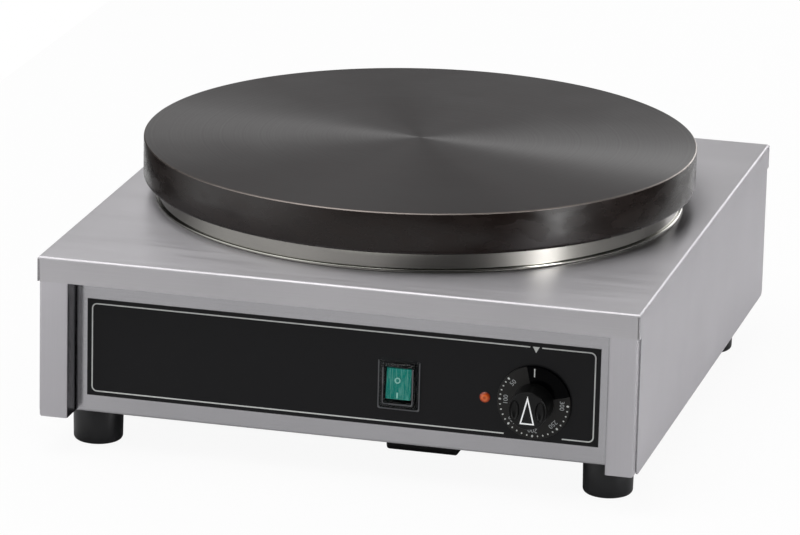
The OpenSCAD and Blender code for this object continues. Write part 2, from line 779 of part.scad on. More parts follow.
// An elbow and a straight lead going down from a turn's end
module lead(r, angle, way) {
    rotate(angle) translate([r, 0, 0]) rotate(way * 90) {
        translate([0, 0, -elbow_r]) rotate([90, 0, 0])
            rotate_extrude(angle = 90, $fn = 96) translate([elbow_r, 0]) circle(r = tube_r, $fn = 32);
        translate([elbow_r, 0, -lead_l]) cylinder(r = tube_r, h = lead_l - elbow_r, $fn = 32);
    }
}

module heating_element() {
    half = turn_step / 2;
    far = turns[0][1] + turns[0][2];
    near = turns[1][1];
    color("#6f6a66") translate([0, 0, tube_z]) {
        for (t = turns) turn(t[0], t[1], t[2]);
        rotate(far) translate([turn_r - half, 0, 0]) turn(half, 0, 180);
        rotate(near) translate([turn_r - half - turn_step, 0, 0]) turn(half, 180, 180);
        lead(turn_r, turns[0][1], -1);
        lead(turns[2][0], turns[2][1] + turns[2][2], 1);
        // short cores that carry each arc's tube into the next
        for (t = turns, a = [t[1], t[1] + t[2]]) rotate(a) translate([t[0], 0, 0])
            rotate([90, 0, 0]) cylinder(r = tube_r / 2, h = tube_r, center = true, $fn = 32);
    }
}

module element_insulators() {
    color("#e8e4da") for (p = lead_ends) translate(p - [0, 0, 6]) difference() {
        cylinder(r = tube_r + 1, h = 6);
        translate([0, 0, -1]) cylinder(r = wire_r, h = 4);
    }
}

module element_clamp() {
    color("#8d8d90") difference() {
        translate([0, 0, clamp_z - clamp_t]) linear_extrude(height = clamp_t) {
            circle(r = 1.5 * clamp_w);
            for (a = [45, 135]) rotate(a) square([2 * clamp_l, clamp_w], center = true);
        }
        for (a = stud_angles) rotate(a) translate([stud_circle, 0, clamp_z - clamp_t - 1])
            cylinder(r = stud_r + hole_gap, h = clamp_t + 2);
    }
}

module plate_studs() {
    low = pan_z - bridge_t - stud_nut_h - 4;
    color("#9a9a9e") for (a = stud_angles) rotate(a) translate([stud_circle, 0, low])
        cylinder(r = stud_r, h = plate_z - low);
}

module stud_nuts() {
    levels = [clamp_z - clamp_t - stud_nut_h, pan_z - bridge_t - stud_nut_h];
    color("#9a9a9e") for (a = stud_angles, z = levels)
        rotate(a) translate([stud_circle, 0, z]) nut(10, stud_nut_h, stud_r);
}

// Everything that passes down through the insulation and the pan
module pan_holes() {
    for (a = stud_angles) rotate(a) translate([stud_circle, 0, pan_z - 1])
        cylinder(r = stud_r + hole_gap, h = top_z);
    for (p = lead_ends) translate([p[0], p[1], pan_z - 1]) cylinder(r = tube_r + hole_gap, h = top_z);
    translate([capillary_x, bulb_y, pan_z - 1]) cylinder(r = 2.5 * capillary_r, h = top_z);
}

module insulation_disc() {
    color("#e9e6dd") difference() {
        translate([0, 0, pan_z + sheet]) cylinder(r = pan_r - insulation_gap, h = insulation_t, $fn = 128);
        pan_holes();
    }
}

module heat_pan() {
    color("#a9a9ac") difference() {
        union() {
            translate([0, 0, pan_z]) cylinder(r = pan_r + sheet, h = top_z + sheet - pan_z, $fn = 128);
            translate([0, 0, top_z]) cylinder(r = pan_r + sheet + pan_rim, h = sheet, $fn = 128);
        }
        translate([0, 0, pan_z + sheet]) cylinder(r = pan_r, h = pan_depth + 1, $fn = 128);
        pan_holes();
    }
}

// A channel from wall to wall, open below, with a tab at each end
module bridge(y) {
    color("#a4a4a8") difference() {
        translate([0, y, pan_z - bridge_h]) {
            difference() {
                block([-inner_x, -bridge_w / 2, 0], [inner_x, bridge_w / 2, bridge_h]);
                block([bridge_t - inner_x, bridge_t - bridge_w / 2, -1],
                      [inner_x - bridge_t, bridge_w / 2 - bridge_t, bridge_h - bridge_t]);
            }
        }
        for (s = [-1, 1]) translate([s * stud_x, y, pan_z - bridge_t - 1])
            cylinder(r = stud_r + hole_gap, h = bridge_t + 2);
    }
}

module front_bridge() {
    bridge(-stud_x);
}

module back_bridge() {
    bridge(stud_x);
}

// Thermostat, with its shaft towards the front

// Cuts the shaft's flat, and the same flat in the knob's bore
module shaft_section(r) {
    difference() {
        circle(r = r, $fn = 48);
        translate([-r, shaft_flat]) square([2 * r, r]);
    }
}

module thermostat_body() {
    color("#b9b9bd") on_panel(knob_x, knob_z) difference() {
        union() {
            block([-stat_w / 2, -stat_h / 2, panel_back - stat_d], [stat_w / 2, stat_h / 2, panel_back]);
            translate([0, 0, panel_back]) cylinder(r = bush_r, h = dial_back / 4 - panel_back);
        }
        translate([0, 0, panel_back - stat_d / 2]) cylinder(r = shaft_r + shaft_fit, h = stat_d);
        for (s = [-1, 1]) translate([0, s * stat_pitch / 2, panel_back - 6]) cylinder(r = screw_r, h = 7);
    }
}

module thermostat_shaft() {
    base = panel_back - stat_d / 2 + 0.5;
    color("#d5d5d8") on_panel(knob_x, knob_z) {
        translate([0, 0, base]) cylinder(r = shaft_r, h = dial_front - base, $fn = 48);
        translate([0, 0, dial_front]) linear_extrude(height = shaft_end - dial_front) shaft_section(shaft_r);
    }
}

module thermostat_screws() {
    color("#9a9a9e") for (s = [-1, 1]) on_panel(knob_x, knob_z + s * stat_pitch / 2) {
        translate([0, 0, panel_back - 5]) cylinder(r = screw_r, h = 6);
        translate([0, 0, -fascia_t]) cylinder(r = head_r, h = fascia_t + dial_back / 4);
    }
}

module thermostat_bulb() {
    color("#c08a5c") translate([-bulb_l / 2, bulb_y, plate_z - bulb_r]) rotate([0, 90, 0])
        cylinder(r = bulb_r, h = bulb_l, $fn = 32);
}

module capillary_tube() {
    z = plate_z - bulb_r;
    low = pan_z - 14;
    color("#c08a5c") wire([
        [bulb_l / 2, bulb_y, z],
        [capillary_x, bulb_y, z],
        [capillary_x, bulb_y, low],
        [capillary_x, stat_back + stat_loop, low],
        [knob_x, stat_back + stat_loop, low],
        [knob_x, stat_back + stat_loop, knob_z + 8],
        [knob_x, stat_back, knob_z + 8]
    ], capillary_r);
}

module bulb_clip() {
    color("#a4a4a8") difference() {
        union() {
            block([-6, bulb_y - bulb_r, clamp_z - 1.5], [6, bulb_screw_y + clip_over, clamp_z]);
            block([-6, bulb_y - bulb_r, clamp_z - 0.5], [6, bulb_y + bulb_r, plate_z - 2 * bulb_r]);
        }
        translate([0, bulb_screw_y, clamp_z - 3]) cylinder(r = screw_r + hole_gap, h = 6);
    }
}

module bulb_clip_screw() {
    color("#9a9a9e") translate([0, bulb_screw_y, clamp_z - 1.5]) pan_screw(6);
}

// Knob: its marks are on the dial, and it turns as one with the shaft

// A finger hollow: an oval dish, deepest in its middle
module finger_hollow() {
    scale([1, hollow_l / hollow_r, hollow_in / hollow_r]) sphere(r = hollow_r, $fn = 64);
}

module knob_grip() {
    color("#222226") on_panel(knob_x, knob_z) difference() {
        translate([0, 0, dial_front]) cylinder(r1 = grip_r, r2 = grip_front_r, h = grip_l, $fn = 96);
        for (s = [-1, 1]) translate([s * (bar_w / 2 + hollow_r), 0, grip_front]) finger_hollow();
        difference() {
            translate([0, 0, dial_front - 1]) cylinder(r = grip_r - 3.5, h = knob_hollow + 1);
            translate([0, 0, dial_front - 2]) cylinder(r = shaft_r + hub_wall, h = knob_hollow + 4);
        }
        translate([0, 0, dial_front - 1]) linear_extrude(height = shaft_end - dial_front + 1)
            shaft_section(shaft_r);
    }
}

module knob_dial() {
    color("#1e1e22") on_panel(knob_x, knob_z) difference() {
        translate([0, 0, dial_back]) cylinder(r = dial_r, h = dial_t, $fn = 120);
        translate([0, 0, dial_back - 1]) cylinder(r = shaft_r + hub_wall, h = dial_t + 2);
    }
}

module knob_clip() {
    inner = shaft_r + hub_wall;
    color("#b0b0b4") on_panel(knob_x, knob_z) translate([0, 0, dial_front + 2]) difference() {
        cylinder(r = inner + 0.6, h = 6);
        translate([0, 0, -1]) cylinder(r = inner, h = 8);
        block([-1.5, 0, -1], [1.5, inner + 2, 7]);
    }
}

// Switch: a rocker on a pin, off at rest with its upper end pressed in

module switch_housing() {
    w = cut_w - 2 * cut_gap;
    h = cut_h - 2 * cut_gap;
    color("#18181b") on_panel(switch_x, switch_z) difference() {
        union() {
            block([-w / 2, -h / 2, -switch_d], [w / 2, h / 2, flange_t / 2]);
            translate([0, 0, 0]) linear_extrude(height = flange_t) round_rect(flange_w, flange_h, 1.2);
        }
        block([-rocker_w / 2 - rocker_gap, -rocker_r - rocker_gap, -switch_d + 10],
              [rocker_w / 2 + rocker_gap, rocker_r + rocker_gap, flange_t + 1]);
        translate([0, 0, -pivot_in]) rotate([0, 90, 0])
            cylinder(r = pin_r, h = cut_w - 1, center = true, $fn = 32);
    }
}

module switch_rocker() {
    color("#2f8f6a") on_panel(switch_x, switch_z) translate([0, 0, -pivot_in]) rotate([-rocker_tilt, 0, 0])
        difference() {
            intersection() {
                block([-rocker_w / 2, -rocker_h / 2, -rocker_back],
                      [rocker_w / 2, rocker_h / 2, rocker_face]);
                rotate([0, 90, 0]) cylinder(r = rocker_r, h = rocker_w + 2, center = true, $fn = 96);
            }
            rotate([0, 90, 0]) cylinder(r = pin_r + pin_fit, h = rocker_w + 2, center = true, $fn = 32);
        }
}

module switch_pin() {
    color("#b0b0b4") on_panel(switch_x, switch_z) translate([0, 0, -pivot_in]) rotate([0, 90, 0])
        cylinder(r = pin_r, h = cut_w - 1, center = true, $fn = 32);
}

// A shell of the splash cover: a flat foot, sloping sides and a flat window
module cover_shell(inset, high) {
    hull() {
        linear_extrude(height = 0.01) round_rect(cover_w - 1.5 - 2 * inset, cover_h - 1.5 - 2 * inset, 1);
        translate([0, 0, high]) linear_extrude(height = 0.01)
            round_rect(window_w - 2 * inset, window_h - 2 * inset, 1);
    }
}

module switch_cover() {
    color("#cfd6d8", 0.4) on_panel(switch_x, switch_z) difference() {
        union() {
            linear_extrude(height = 1) round_rect(cover_w, cover_h, 1.2);
            cover_shell(0, cover_out - 0.01);
        }
        translate([0, 0, -0.02]) cover_shell(cover_t, cover_out - cover_t);
    }
}

module switch_terminals() {
    color("#c8a24a") on_panel(switch_x, switch_z) for (x = [-blade_x, blade_x], y = [-blade_z, blade_z])
        block([x - blade[0] / 2, y - blade[1] / 2, -switch_d - blade[2]],
              [x + blade[0] / 2, y + blade[1] / 2, -switch_d]);
}

// Pilot lamp

module lamp_lens() {
    ball_r = (lens_r * lens_r + lens_out * lens_out) / (2 * lens_out);
    color("#ff6a1a") on_panel(lamp_x, lamp_z) {
        intersection() {
            translate([0, 0, lens_out - ball_r]) sphere(r = ball_r, $fn = 64);
            cylinder(r = lens_r + 1, h = lens_out + 1);
        }
        translate([0, 0, panel_back]) cylinder(r = stem_r, h = -panel_back, $fn = 48);
    }
}

module lamp_body() {
    color("#f0f0ea") on_panel(lamp_x, lamp_z) translate([0, 0, panel_back - lamp_l])
        cylinder(r = lamp_r, h = lamp_l);
}

module lamp_clip() {
    color("#b0b0b4") on_panel(lamp_x, lamp_z) translate([0, 0, panel_back - 2]) difference() {
        cylinder(r = lamp_r + 3, h = 1);
        translate([0, 0, -1]) cylinder(r = lamp_r, h = 3);
    }
}

// Supply: terminal block, gland and wires

module terminal_block() {
    color("#e9e2cf") difference() {
        block([block_x, block_y, floor_z], [block_x + block_w, block_y + block_d, floor_z + block_h]);
        for (x = block_screw_xs) translate([x, earth_y, floor_z - 1]) {
            cylinder(r = screw_r + hole_gap, h = block_h + 2);
            translate([0, 0, 1 + block_h - head_h - 1]) cylinder(r = head_r + hole_gap, h = head_h + 2);
        }
        for (x = terminal_x) translate([x, block_y - 1, floor_z + block_h / 2 - 2]) rotate([-90, 0, 0])
            cylinder(r = wire_r, h = 6);
    }
}

module terminal_block_screws() {
    color("#9a9a9e") for (x = block_screw_xs)
        translate([x, earth_y, floor_z + block_h - head_h - 1]) rotate([180, 0, 0])
            pan_screw(block_h - head_h - 1 + 1.5 * sheet);
}

module gland_body() {
    color("#26262a") on_back(gland_x, gland_z) difference() {
        union() {
            translate([0, 0, -gland_in]) cylinder(r = gland_r, h = gland_in + 13);
            hexagon(gland_hex, 5);
        }
        translate([0, 0, -gland_in - 1]) cylinder(r = cable_r, h = gland_in + 20, $fn = 64);
    }
}

module gland_nut() {
    color("#26262a") on_back(gland_x, gland_z) translate([0, 0, 5]) difference() {
        union() {
            hexagon(gland_hex, 11);
            cylinder(r = gland_hex / 2, h = gland_nut_l - 3);
            translate([0, 0, gland_nut_l - 3]) cylinder(r1 = gland_hex / 2, r2 = gland_hex / 2 - 3, h = 3);
        }
        translate([0, 0, -1]) cylinder(r = gland_r, h = gland_nut_l - 1);
        cylinder(r = cable_r + 0.5, h = gland_nut_l + 1);
    }
}

module gland_locknut() {
    color("#26262a") on_back(gland_x, gland_z) translate([0, 0, -sheet - 5]) nut(gland_hex + 2, 5, gland_r);
}

module gland_seal() {
    low = 13;
    high = 5 + gland_nut_l - 2;
    color("#3a3a3e") on_back(gland_x, gland_z) translate([0, 0, low]) difference() {
        cylinder(r = gland_r - 0.5, h = high - low);
        translate([0, 0, -1]) cylinder(r = cable_r + 0.5, h = high - low + 2);
    }
}

module earth_stud() {
    color("#c8a24a") translate([earth_x, earth_y, 0]) {
        translate([0, 0, case_z + sheet]) cylinder(r = screw_r, h = sheet + 2 * earth_nut + earth_gap + 4.5);
        for (z = [0, earth_nut + earth_gap]) translate([0, 0, floor_z + z]) hexagon(8, earth_nut);
    }
}

// A point behind one of the switch's blades; side and up are -1 or 1
function blade_at(side, up, out = 0) = [switch_x + side * blade_x, blade_y + out, switch_z + up * blade_z];

// A point in front of one of the terminal block's holes
function terminal_at(i, out = 0) = [terminal_x[i], block_y - out, block_top];

module live_wires() {
    stat_x = knob_x - stat_side;
    low = knob_z - stat_side;
    high = switch_z + blade_z;
    to = lead_ends[0];
    out = blade_run[0];
    color("#7a4a2a") {
        wire([terminal_at(0), terminal_at(0, terminal_run[0]), blade_at(-1, -1, out), blade_at(-1, -1)],
             wire_r);
        wire([[stat_x, stat_back, high], [stat_x, blade_y + out, high], blade_at(1, 1, out), blade_at(1, 1)],
             wire_r);
        wire([[stat_x, stat_back, low], [stat_x, to[1], low], [to[0], to[1], low], to - [0, 0, plug_in]],
             wire_r);
    }
}

module neutral_wires() {
    to = lead_ends[1];
    high = switch_z + blade_z;
    out = blade_run[1];
    color("#2a4f8f") {
        wire([terminal_at(1), terminal_at(1, terminal_run[1]), blade_at(1, -1, blade_run[0]),
              blade_at(1, -1)], wire_r);
        wire([blade_at(-1, 1), blade_at(-1, 1, out), [to[0], blade_y + out, high], [to[0], to[1], high],
              to - [0, 0, plug_in]], wire_r);
    }
}

module earth_wire() {
    tag_z = floor_z + 2 * earth_nut + earth_gap + wire_r;
    color("#4f9a3a") wire([terminal_at(2), terminal_at(2, terminal_run[2]),
                           [earth_x, block_y - terminal_run[2], tag_z], [earth_x, earth_y - screw_r, tag_z]],
                          wire_r);
}

top_panel();
left_side_panel();
right_side_panel();
front_panel();
control_fascia();
back_panel();
base_plate();
base_screws();
base_nuts();
back_panel_screws();
terminal_cover();
terminal_cover_screws();
foot_front_left();
foot_front_right();
foot_back_left();
foot_back_right();
foot_screws();
foot_nuts();
cooking_plate();
plate_ring();
heating_element();
element_insulators();
element_clamp();
plate_studs();
stud_nuts();
insulation_disc();
heat_pan();
front_bridge();
back_bridge();
thermostat_body();
thermostat_shaft();
thermostat_screws();
thermostat_bulb();
capillary_tube();
bulb_clip();
bulb_clip_screw();
knob_grip();
knob_dial();
knob_clip();
switch_housing();
switch_rocker();
switch_pin();
switch_cover();
switch_terminals();
lamp_lens();
lamp_body();
lamp_clip();
terminal_block();
terminal_block_screws();
gland_body();
gland_nut();
gland_locknut();
gland_seal();
earth_stud();
live_wires();
neutral_wires();
earth_wire();
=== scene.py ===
"""Electric crepe maker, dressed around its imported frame.

The construction comes from the frame. This file gives the visible pieces their finer shapes and every
piece its finish, and sets the camera, the lights and the floor. Sizes are in millimetres in the object's
own frame (origin on the floor under the plate's axis, +Z up, front towards -Y); meshes are made in metres.
"""
import logging
import math
from dataclasses import dataclass, replace
from enum import Enum

import bmesh
import bpy
from mathutils import Matrix, Vector


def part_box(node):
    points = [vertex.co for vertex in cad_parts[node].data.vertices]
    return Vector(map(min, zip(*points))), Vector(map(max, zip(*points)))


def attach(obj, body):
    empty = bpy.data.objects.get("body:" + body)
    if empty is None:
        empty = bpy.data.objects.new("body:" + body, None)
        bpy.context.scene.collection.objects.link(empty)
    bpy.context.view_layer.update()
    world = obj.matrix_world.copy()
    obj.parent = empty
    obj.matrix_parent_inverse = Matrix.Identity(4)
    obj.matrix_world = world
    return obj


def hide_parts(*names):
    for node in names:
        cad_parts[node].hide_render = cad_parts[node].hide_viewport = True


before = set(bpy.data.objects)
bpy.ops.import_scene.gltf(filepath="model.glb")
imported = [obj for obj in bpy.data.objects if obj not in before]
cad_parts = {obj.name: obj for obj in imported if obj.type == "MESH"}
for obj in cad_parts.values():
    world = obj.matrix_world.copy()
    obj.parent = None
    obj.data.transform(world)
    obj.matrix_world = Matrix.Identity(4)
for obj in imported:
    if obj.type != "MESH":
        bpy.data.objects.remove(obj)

LOG = logging.getLogger("crepe_maker")
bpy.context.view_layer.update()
MM = 0.001
NEAR = 0.02                      # how close two places are when they count as the same, in mm
APART = 1.0                      # how far apart they are at least when they clearly differ, in mm
FLAT = 0.99                      # share of a normal that points one way when its face is flat across it
NEARLY = 0.9                     # and when the face is nearly flat across it
BEND_STEPS = 6                   # segments of a sheet's bend or a large rounding
CORNER_STEPS = 8                 # segments of a flat outline's rounded corner
SHEET_CREASE = 50.0              # angle past which a folded sheet's edge shows, in degrees
SHEET_BREAK = 0.1                # width of a sheet's finely broken edges, in mm
LETTER = 1.4                     # size of a font over the height of its figures
SENSOR = 36.0                    # width of the camera's sensor, in mm
CAMERA_PIXELS = 800              # width of the picture that the camera's focal length is given for

Node = bpy.types.Node
Tree = bpy.types.NodeTree
Socket = bpy.types.NodeSocket
Form = bmesh.types.BMesh
Edges = list[bmesh.types.BMEdge]
Faces = list[bmesh.types.BMFace]
Piece = bpy.types.Object
Point = tuple[float, float, float]
Span = tuple[float, float]

NOISE_SPAN: Span = (0.3, 0.7)    # between which nearly all of a noise's values lie


# Materials ------------------------------------------------------------------------------------------


def linear(colour: str) -> tuple[float, float, float, float]:
    """Turns an sRGB hex colour into Blender's linear colour.

    Args:
        colour: Six hex digits after a hash.

    Returns:
        Linear red, green and blue, and an alpha of 1.
    """
    shares = [int(colour[i:i + 2], 16) / 255 for i in (1, 3, 5)]
    return (*(s / 12.92 if s <= 0.04045 else ((s + 0.055) / 1.055) ** 2.4 for s in shares), 1.0)


def add_node(tree: Tree, kind: str, inputs: dict[str | int, object] | None = None,
             **settings: object) -> Node:
    """Adds a node with its settings, values and links.

    Args:
        tree: The node tree.
        kind: The node's type name.
        inputs: Values or other nodes' output sockets, by the name or number of the input.
        settings: The node's own properties.

    Returns:
        The new node.
    """
    node = tree.nodes.new(kind)
    for name, value in settings.items():
        setattr(node, name, value)
    for key, value in (inputs or {}).items():
        if isinstance(value, Socket):
            tree.links.new(value, node.inputs[key])
        else:
            node.inputs[key].default_value = value
    return node


class Grain(Enum):
    """The direction in which a sheet was brushed."""

    ALONG_X = (1.0, 0.0, 0.0)
    ALONG_Y = (0.0, 1.0, 0.0)
    ALONG_Z = (0.0, 0.0, 1.0)


def fresh_tree(owner: bpy.types.Material | bpy.types.World) -> Tree:
    """Gives a material or a world an empty node tree.

    Args:
        owner: The material or the world.

    Returns:
        Its node tree.
    """
    owner.use_nodes = True
    owner.node_tree.nodes.clear()
    return owner.node_tree


@dataclass(frozen=True)
class Finish:
    """What all finishes share.

    Attributes:
        name: The material's name: what it is and how its surface was made.
        colour: Its colour as sRGB hex.
        roughness: The mean roughness of its surface.
    """

    name: str
    colour: str
    roughness: float

    def material(self) -> bpy.types.Material:
        """Makes the finish's material the first time it is asked for.

        Returns:
            The material.
        """
        if self.name in bpy.data.materials:
            return bpy.data.materials[self.name]
        made = bpy.data.materials.new(self.name)
        tree = fresh_tree(made)
        shader = add_node(tree, "ShaderNodeBsdfPrincipled",
                          {"Base Color": linear(self.colour), "Roughness": self.roughness})
        add_node(tree, "ShaderNodeOutputMaterial", {"Surface": shader.outputs[0]})
        self.paint(tree, shader)
        return made

    def paint(self, tree: Tree, shader: Node) -> None:
        """Adds the finish's own patterns; each kind of finish says how.

        Args:
            tree: The material's node tree.
            shader: Its Principled BSDF, which already has the colour and the roughness.
        """

    def speckle(self, tree: Tree, sizes: Point, detail: float = 2.0) -> Socket:
        """Adds a noise whose cells have given sizes along X, Y and Z.

        Args:
            tree: The material's node tree.
            sizes: The cells' sizes in millimetres.
            detail: How many finer layers the noise has.

        Returns:
            The noise's factor, from 0 to 1 and mostly round 0.5.
        """
        place = add_node(tree, "ShaderNodeTexCoord")
        scaled = add_node(tree, "ShaderNodeMapping", {"Vector": place.outputs["Object"],
                                                      "Scale": [1 / (s * MM) for s in sizes]})
        return add_node(tree, "ShaderNodeTexNoise", {"Vector": scaled.outputs[0], "Scale": 1.0,
                                                     "Detail": detail}).outputs[0]

    def average(self, tree: Tree, one: Socket, other: Socket) -> Socket:
        """Adds the mean of two patterns.

        Args:
            tree: The material's node tree.
            one: One pattern.
            other: The other pattern.

        Returns:
            Their mean.
        """
        both = add_node(tree, "ShaderNodeMath", {0: one, 1: other}, operation="ADD")
        return add_node(tree, "ShaderNodeMath", {0: both.outputs[0], 1: 0.5}, operation="MULTIPLY").outputs[0]

    def tint(self, tree: Tree, shader: Node, factor: Socket, dark: float, light: float) -> None:
        """Lets a pattern darken and lighten the colour.

        Args:
            tree: The material's node tree.
            shader: The shader whose colour it drives.
            factor: The pattern.
            dark: What the colour is multiplied by where the pattern is 0.
            light: What it is multiplied by where the pattern is 1.
        """
        base = linear(self.colour)[:3]
        blend = add_node(tree, "ShaderNodeMix", {0: factor, 6: [c * dark for c in base] + [1.0],
                                                 7: [min(1.0, c * light) for c in base] + [1.0]},
                         data_type="RGBA")
        tree.links.new(blend.outputs[2], shader.inputs["Base Color"])

    def gloss(self, tree: Tree, shader: Node, factor: Socket, spread: float) -> None:
        """Lets a pattern vary the roughness.

        Args:
            tree: The material's node tree.
            shader: The shader whose roughness it drives.
            factor: The pattern.
            spread: How far the roughness goes each way from its mean.
        """
        least, most = NOISE_SPAN
        spans = add_node(tree, "ShaderNodeMapRange", {0: factor, 1: least, 2: most,
                                                      3: self.roughness - spread, 4: self.roughness + spread})
        tree.links.new(spans.outputs[0], shader.inputs["Roughness"])

    def relief(self, tree: Tree, shader: Node, factor: Socket, height: float) -> None:
        """Lets a pattern raise the surface by a height in millimetres."""
        bump = add_node(tree, "ShaderNodeBump", {"Height": factor, "Distance": height * MM, "Strength": 1.0})
        tree.links.new(bump.outputs[0], shader.inputs["Normal"])


@dataclass(frozen=True)
class BrushedSteel(Finish):
    """Stainless sheet brushed one way: fine parallel scratches that smear reflections across them."""

    grain: Grain = Grain.ALONG_X
    length: float = 70.0             # of a scratch, in mm
    width: float = 0.7               # real scratches are finer; this is as coarse as shows
    depth: float = 0.004             # of a scratch, in mm
    patches: Point = (90.0, 70.0, 60.0)  # sizes of the cloudy patches, in mm
    smear: float = 0.85              # how much more reflections spread across the grain than along it

    def paint(self, tree: Tree, shader: Node) -> None:
        """Scratches along the grain, broad cloudy patches, and reflections smeared across the grain.

        Args:
            tree: The material's node tree.
            shader: Its Principled BSDF.
        """
        way = self.grain.value
        streaks = self.speckle(tree, tuple(self.length if share else self.width for share in way), detail=4.0)
        clouds = self.speckle(tree, self.patches)
        self.tint(tree, shader, self.average(tree, streaks, clouds), dark=0.84, light=1.16)
        self.gloss(tree, shader, streaks, spread=0.05)
        shader.inputs["Metallic"].default_value = 1.0
        shader.inputs["Anisotropic"].default_value = self.smear
        facing = add_node(tree, "ShaderNodeNewGeometry")
        across = add_node(tree, "ShaderNodeVectorMath", {0: facing.outputs["Normal"], 1: way},
                          operation="CROSS_PRODUCT")
        tree.links.new(across.outputs[0], shader.inputs["Tangent"])
        self.relief(tree, shader, streaks, self.depth)


@dataclass(frozen=True)
class SpunSteel(Finish):
    """Stainless band polished as it turned: its scratches run round it, so reflections smear upright."""

    scratch: Point = (120.0, 120.0, 0.5)  # a scratch's length round the band, and its height, in mm
    smear: float = 0.5

    def paint(self, tree: Tree, shader: Node) -> None:
        """Scratches round the band and an upright smear.

        Args:
            tree: The material's node tree.
            shader: Its Principled BSDF.
        """
        streaks = self.speckle(tree, self.scratch, detail=3.0)
        self.tint(tree, shader, streaks, dark=0.92, light=1.08)
        self.gloss(tree, shader, streaks, spread=0.04)
        shader.inputs["Metallic"].default_value = 1.0
        shader.inputs["Anisotropic"].default_value = self.smear
        upright = add_node(tree, "ShaderNodeCombineXYZ", {2: 1.0})
        tree.links.new(upright.outputs[0], shader.inputs["Tangent"])


@dataclass(frozen=True)
class CutSteel(Finish):
    """Sheared edge of a steel sheet: grey and dull, without brushing."""

    spot: float = 1.2                # size of the shear's marks, in mm

    def paint(self, tree: Tree, shader: Node) -> None:
        """Small dark and light spots from the shear.

        Args:
            tree: The material's node tree.
            shader: Its Principled BSDF.
        """
        spots = self.speckle(tree, (self.spot,) * 3)
        self.tint(tree, shader, spots, dark=0.7, light=1.3)
        self.gloss(tree, shader, spots, spread=0.06)
        shader.inputs["Metallic"].default_value = 1.0


@dataclass(frozen=True)
class TurnedIron(Finish):
    """Top of the cast plate, faced on a lathe and seasoned: fine rings that spread light outwards."""

    ring: float = 1.6                # distance between rings, coarser than the real 0.2 mm so that it shows
    depth: float = 0.006             # of a ring's groove, in mm
    patch: float = 45.0              # size of the seasoning's patches, in mm
    smear: float = 0.85
    specular: float = 0.34

    def paint(self, tree: Tree, shader: Node) -> None:
        """Rings round the plate's axis, seasoning in cloudy patches, and a smear away from the axis.

        Args:
            tree: The material's node tree.
            shader: Its Principled BSDF.
        """
        place = add_node(tree, "ShaderNodeTexCoord")
        outwards = add_node(tree, "ShaderNodeVectorMath", {0: place.outputs["Object"], 1: (1.0, 1.0, 0.0)},
                            operation="MULTIPLY")
        away = add_node(tree, "ShaderNodeVectorMath", {0: outwards.outputs[0]}, operation="LENGTH")
        count = add_node(tree, "ShaderNodeMath", {0: away.outputs["Value"], 1: 1 / (self.ring * MM)},
                         operation="MULTIPLY")
        rings = add_node(tree, "ShaderNodeTexNoise", {"W": count.outputs[0], "Scale": 1.0, "Detail": 3.0},
                         noise_dimensions="1D")
        patches = self.speckle(tree, (self.patch,) * 3, detail=3.0)
        mixed = self.average(tree, rings.outputs[0], patches)
        self.tint(tree, shader, mixed, dark=0.6, light=1.4)
        self.gloss(tree, shader, mixed, spread=0.05)
        shader.inputs["Anisotropic"].default_value = self.smear
        shader.inputs["Specular IOR Level"].default_value = self.specular
        tree.links.new(outwards.outputs[0], shader.inputs["Tangent"])
        self.relief(tree, shader, rings.outputs[0], self.depth)


@dataclass(frozen=True)
class SeasonedIron(Finish):
    """Cast iron under baked oil: near black with a brown cast, slightly uneven."""

    specular: float = 0.35
    runs: Point = (22.0, 22.0, 9.0)  # sizes of the oil's uneven runs, in mm
    grit: float = 1.6                # size of the casting's grain, in mm
    height: float = 0.02             # of the grain, in mm

    def paint(self, tree: Tree, shader: Node) -> None:
        """Uneven oil, and the casting's grain under it.

        Args:
            tree: The material's node tree.
            shader: Its Principled BSDF.
        """
        film = self.speckle(tree, self.runs, detail=3.0)
        self.tint(tree, shader, film, dark=0.6, light=1.5)
        self.gloss(tree, shader, film, spread=0.08)
        shader.inputs["Specular IOR Level"].default_value = self.specular
        self.relief(tree, shader, self.speckle(tree, (self.grit,) * 3), self.height)


@dataclass(frozen=True)
class MouldedPlastic(Finish):
    """Injection-moulded plastic: an even colour with a faint spark-eroded grain."""

    grit: float = 0.6                # size of the mould's grain, in mm
    specular: float = 0.4
    height: float = 0.008            # of the grain, in mm
    flow: float = 14.0               # size of the patches that the flowing melt leaves, in mm

    def paint(self, tree: Tree, shader: Node) -> None:
        """The mould's grain, and gloss that varies a little over the piece.

        Args:
            tree: The material's node tree.
            shader: Its Principled BSDF.
        """
        grain = self.speckle(tree, (self.grit,) * 3)
        cast = self.speckle(tree, (self.flow,) * 3)
        self.tint(tree, shader, cast, dark=0.92, light=1.08)
        self.gloss(tree, shader, cast, spread=0.03)
        shader.inputs["Specular IOR Level"].default_value = self.specular
        self.relief(tree, shader, grain, self.height)


@dataclass(frozen=True)
class TintedPlastic(MouldedPlastic):
    """Clear plastic with a dye, as in a rocker or a lamp's lens: light goes a little way into it."""

    depth: float = 1.0               # how far the light goes in, in mm
    clearness: float = 0.35          # share of the light that goes in
    coat: float = 0.0                # weight of the smooth outer gloss
    coat_roughness: float = 0.08

    def paint(self, tree: Tree, shader: Node) -> None:
        """The moulding's own look, with light that spreads inside.

        Args:
            tree: The material's node tree.
            shader: Its Principled BSDF.
        """
        super().paint(tree, shader)
        shader.inputs["Subsurface Weight"].default_value = self.clearness
        shader.inputs["Subsurface Scale"].default_value = self.depth * MM
        shader.inputs["Subsurface Radius"].default_value = linear(self.colour)[:3]
        shader.inputs["Coat Weight"].default_value = self.coat
        shader.inputs["Coat Roughness"].default_value = self.coat_roughness


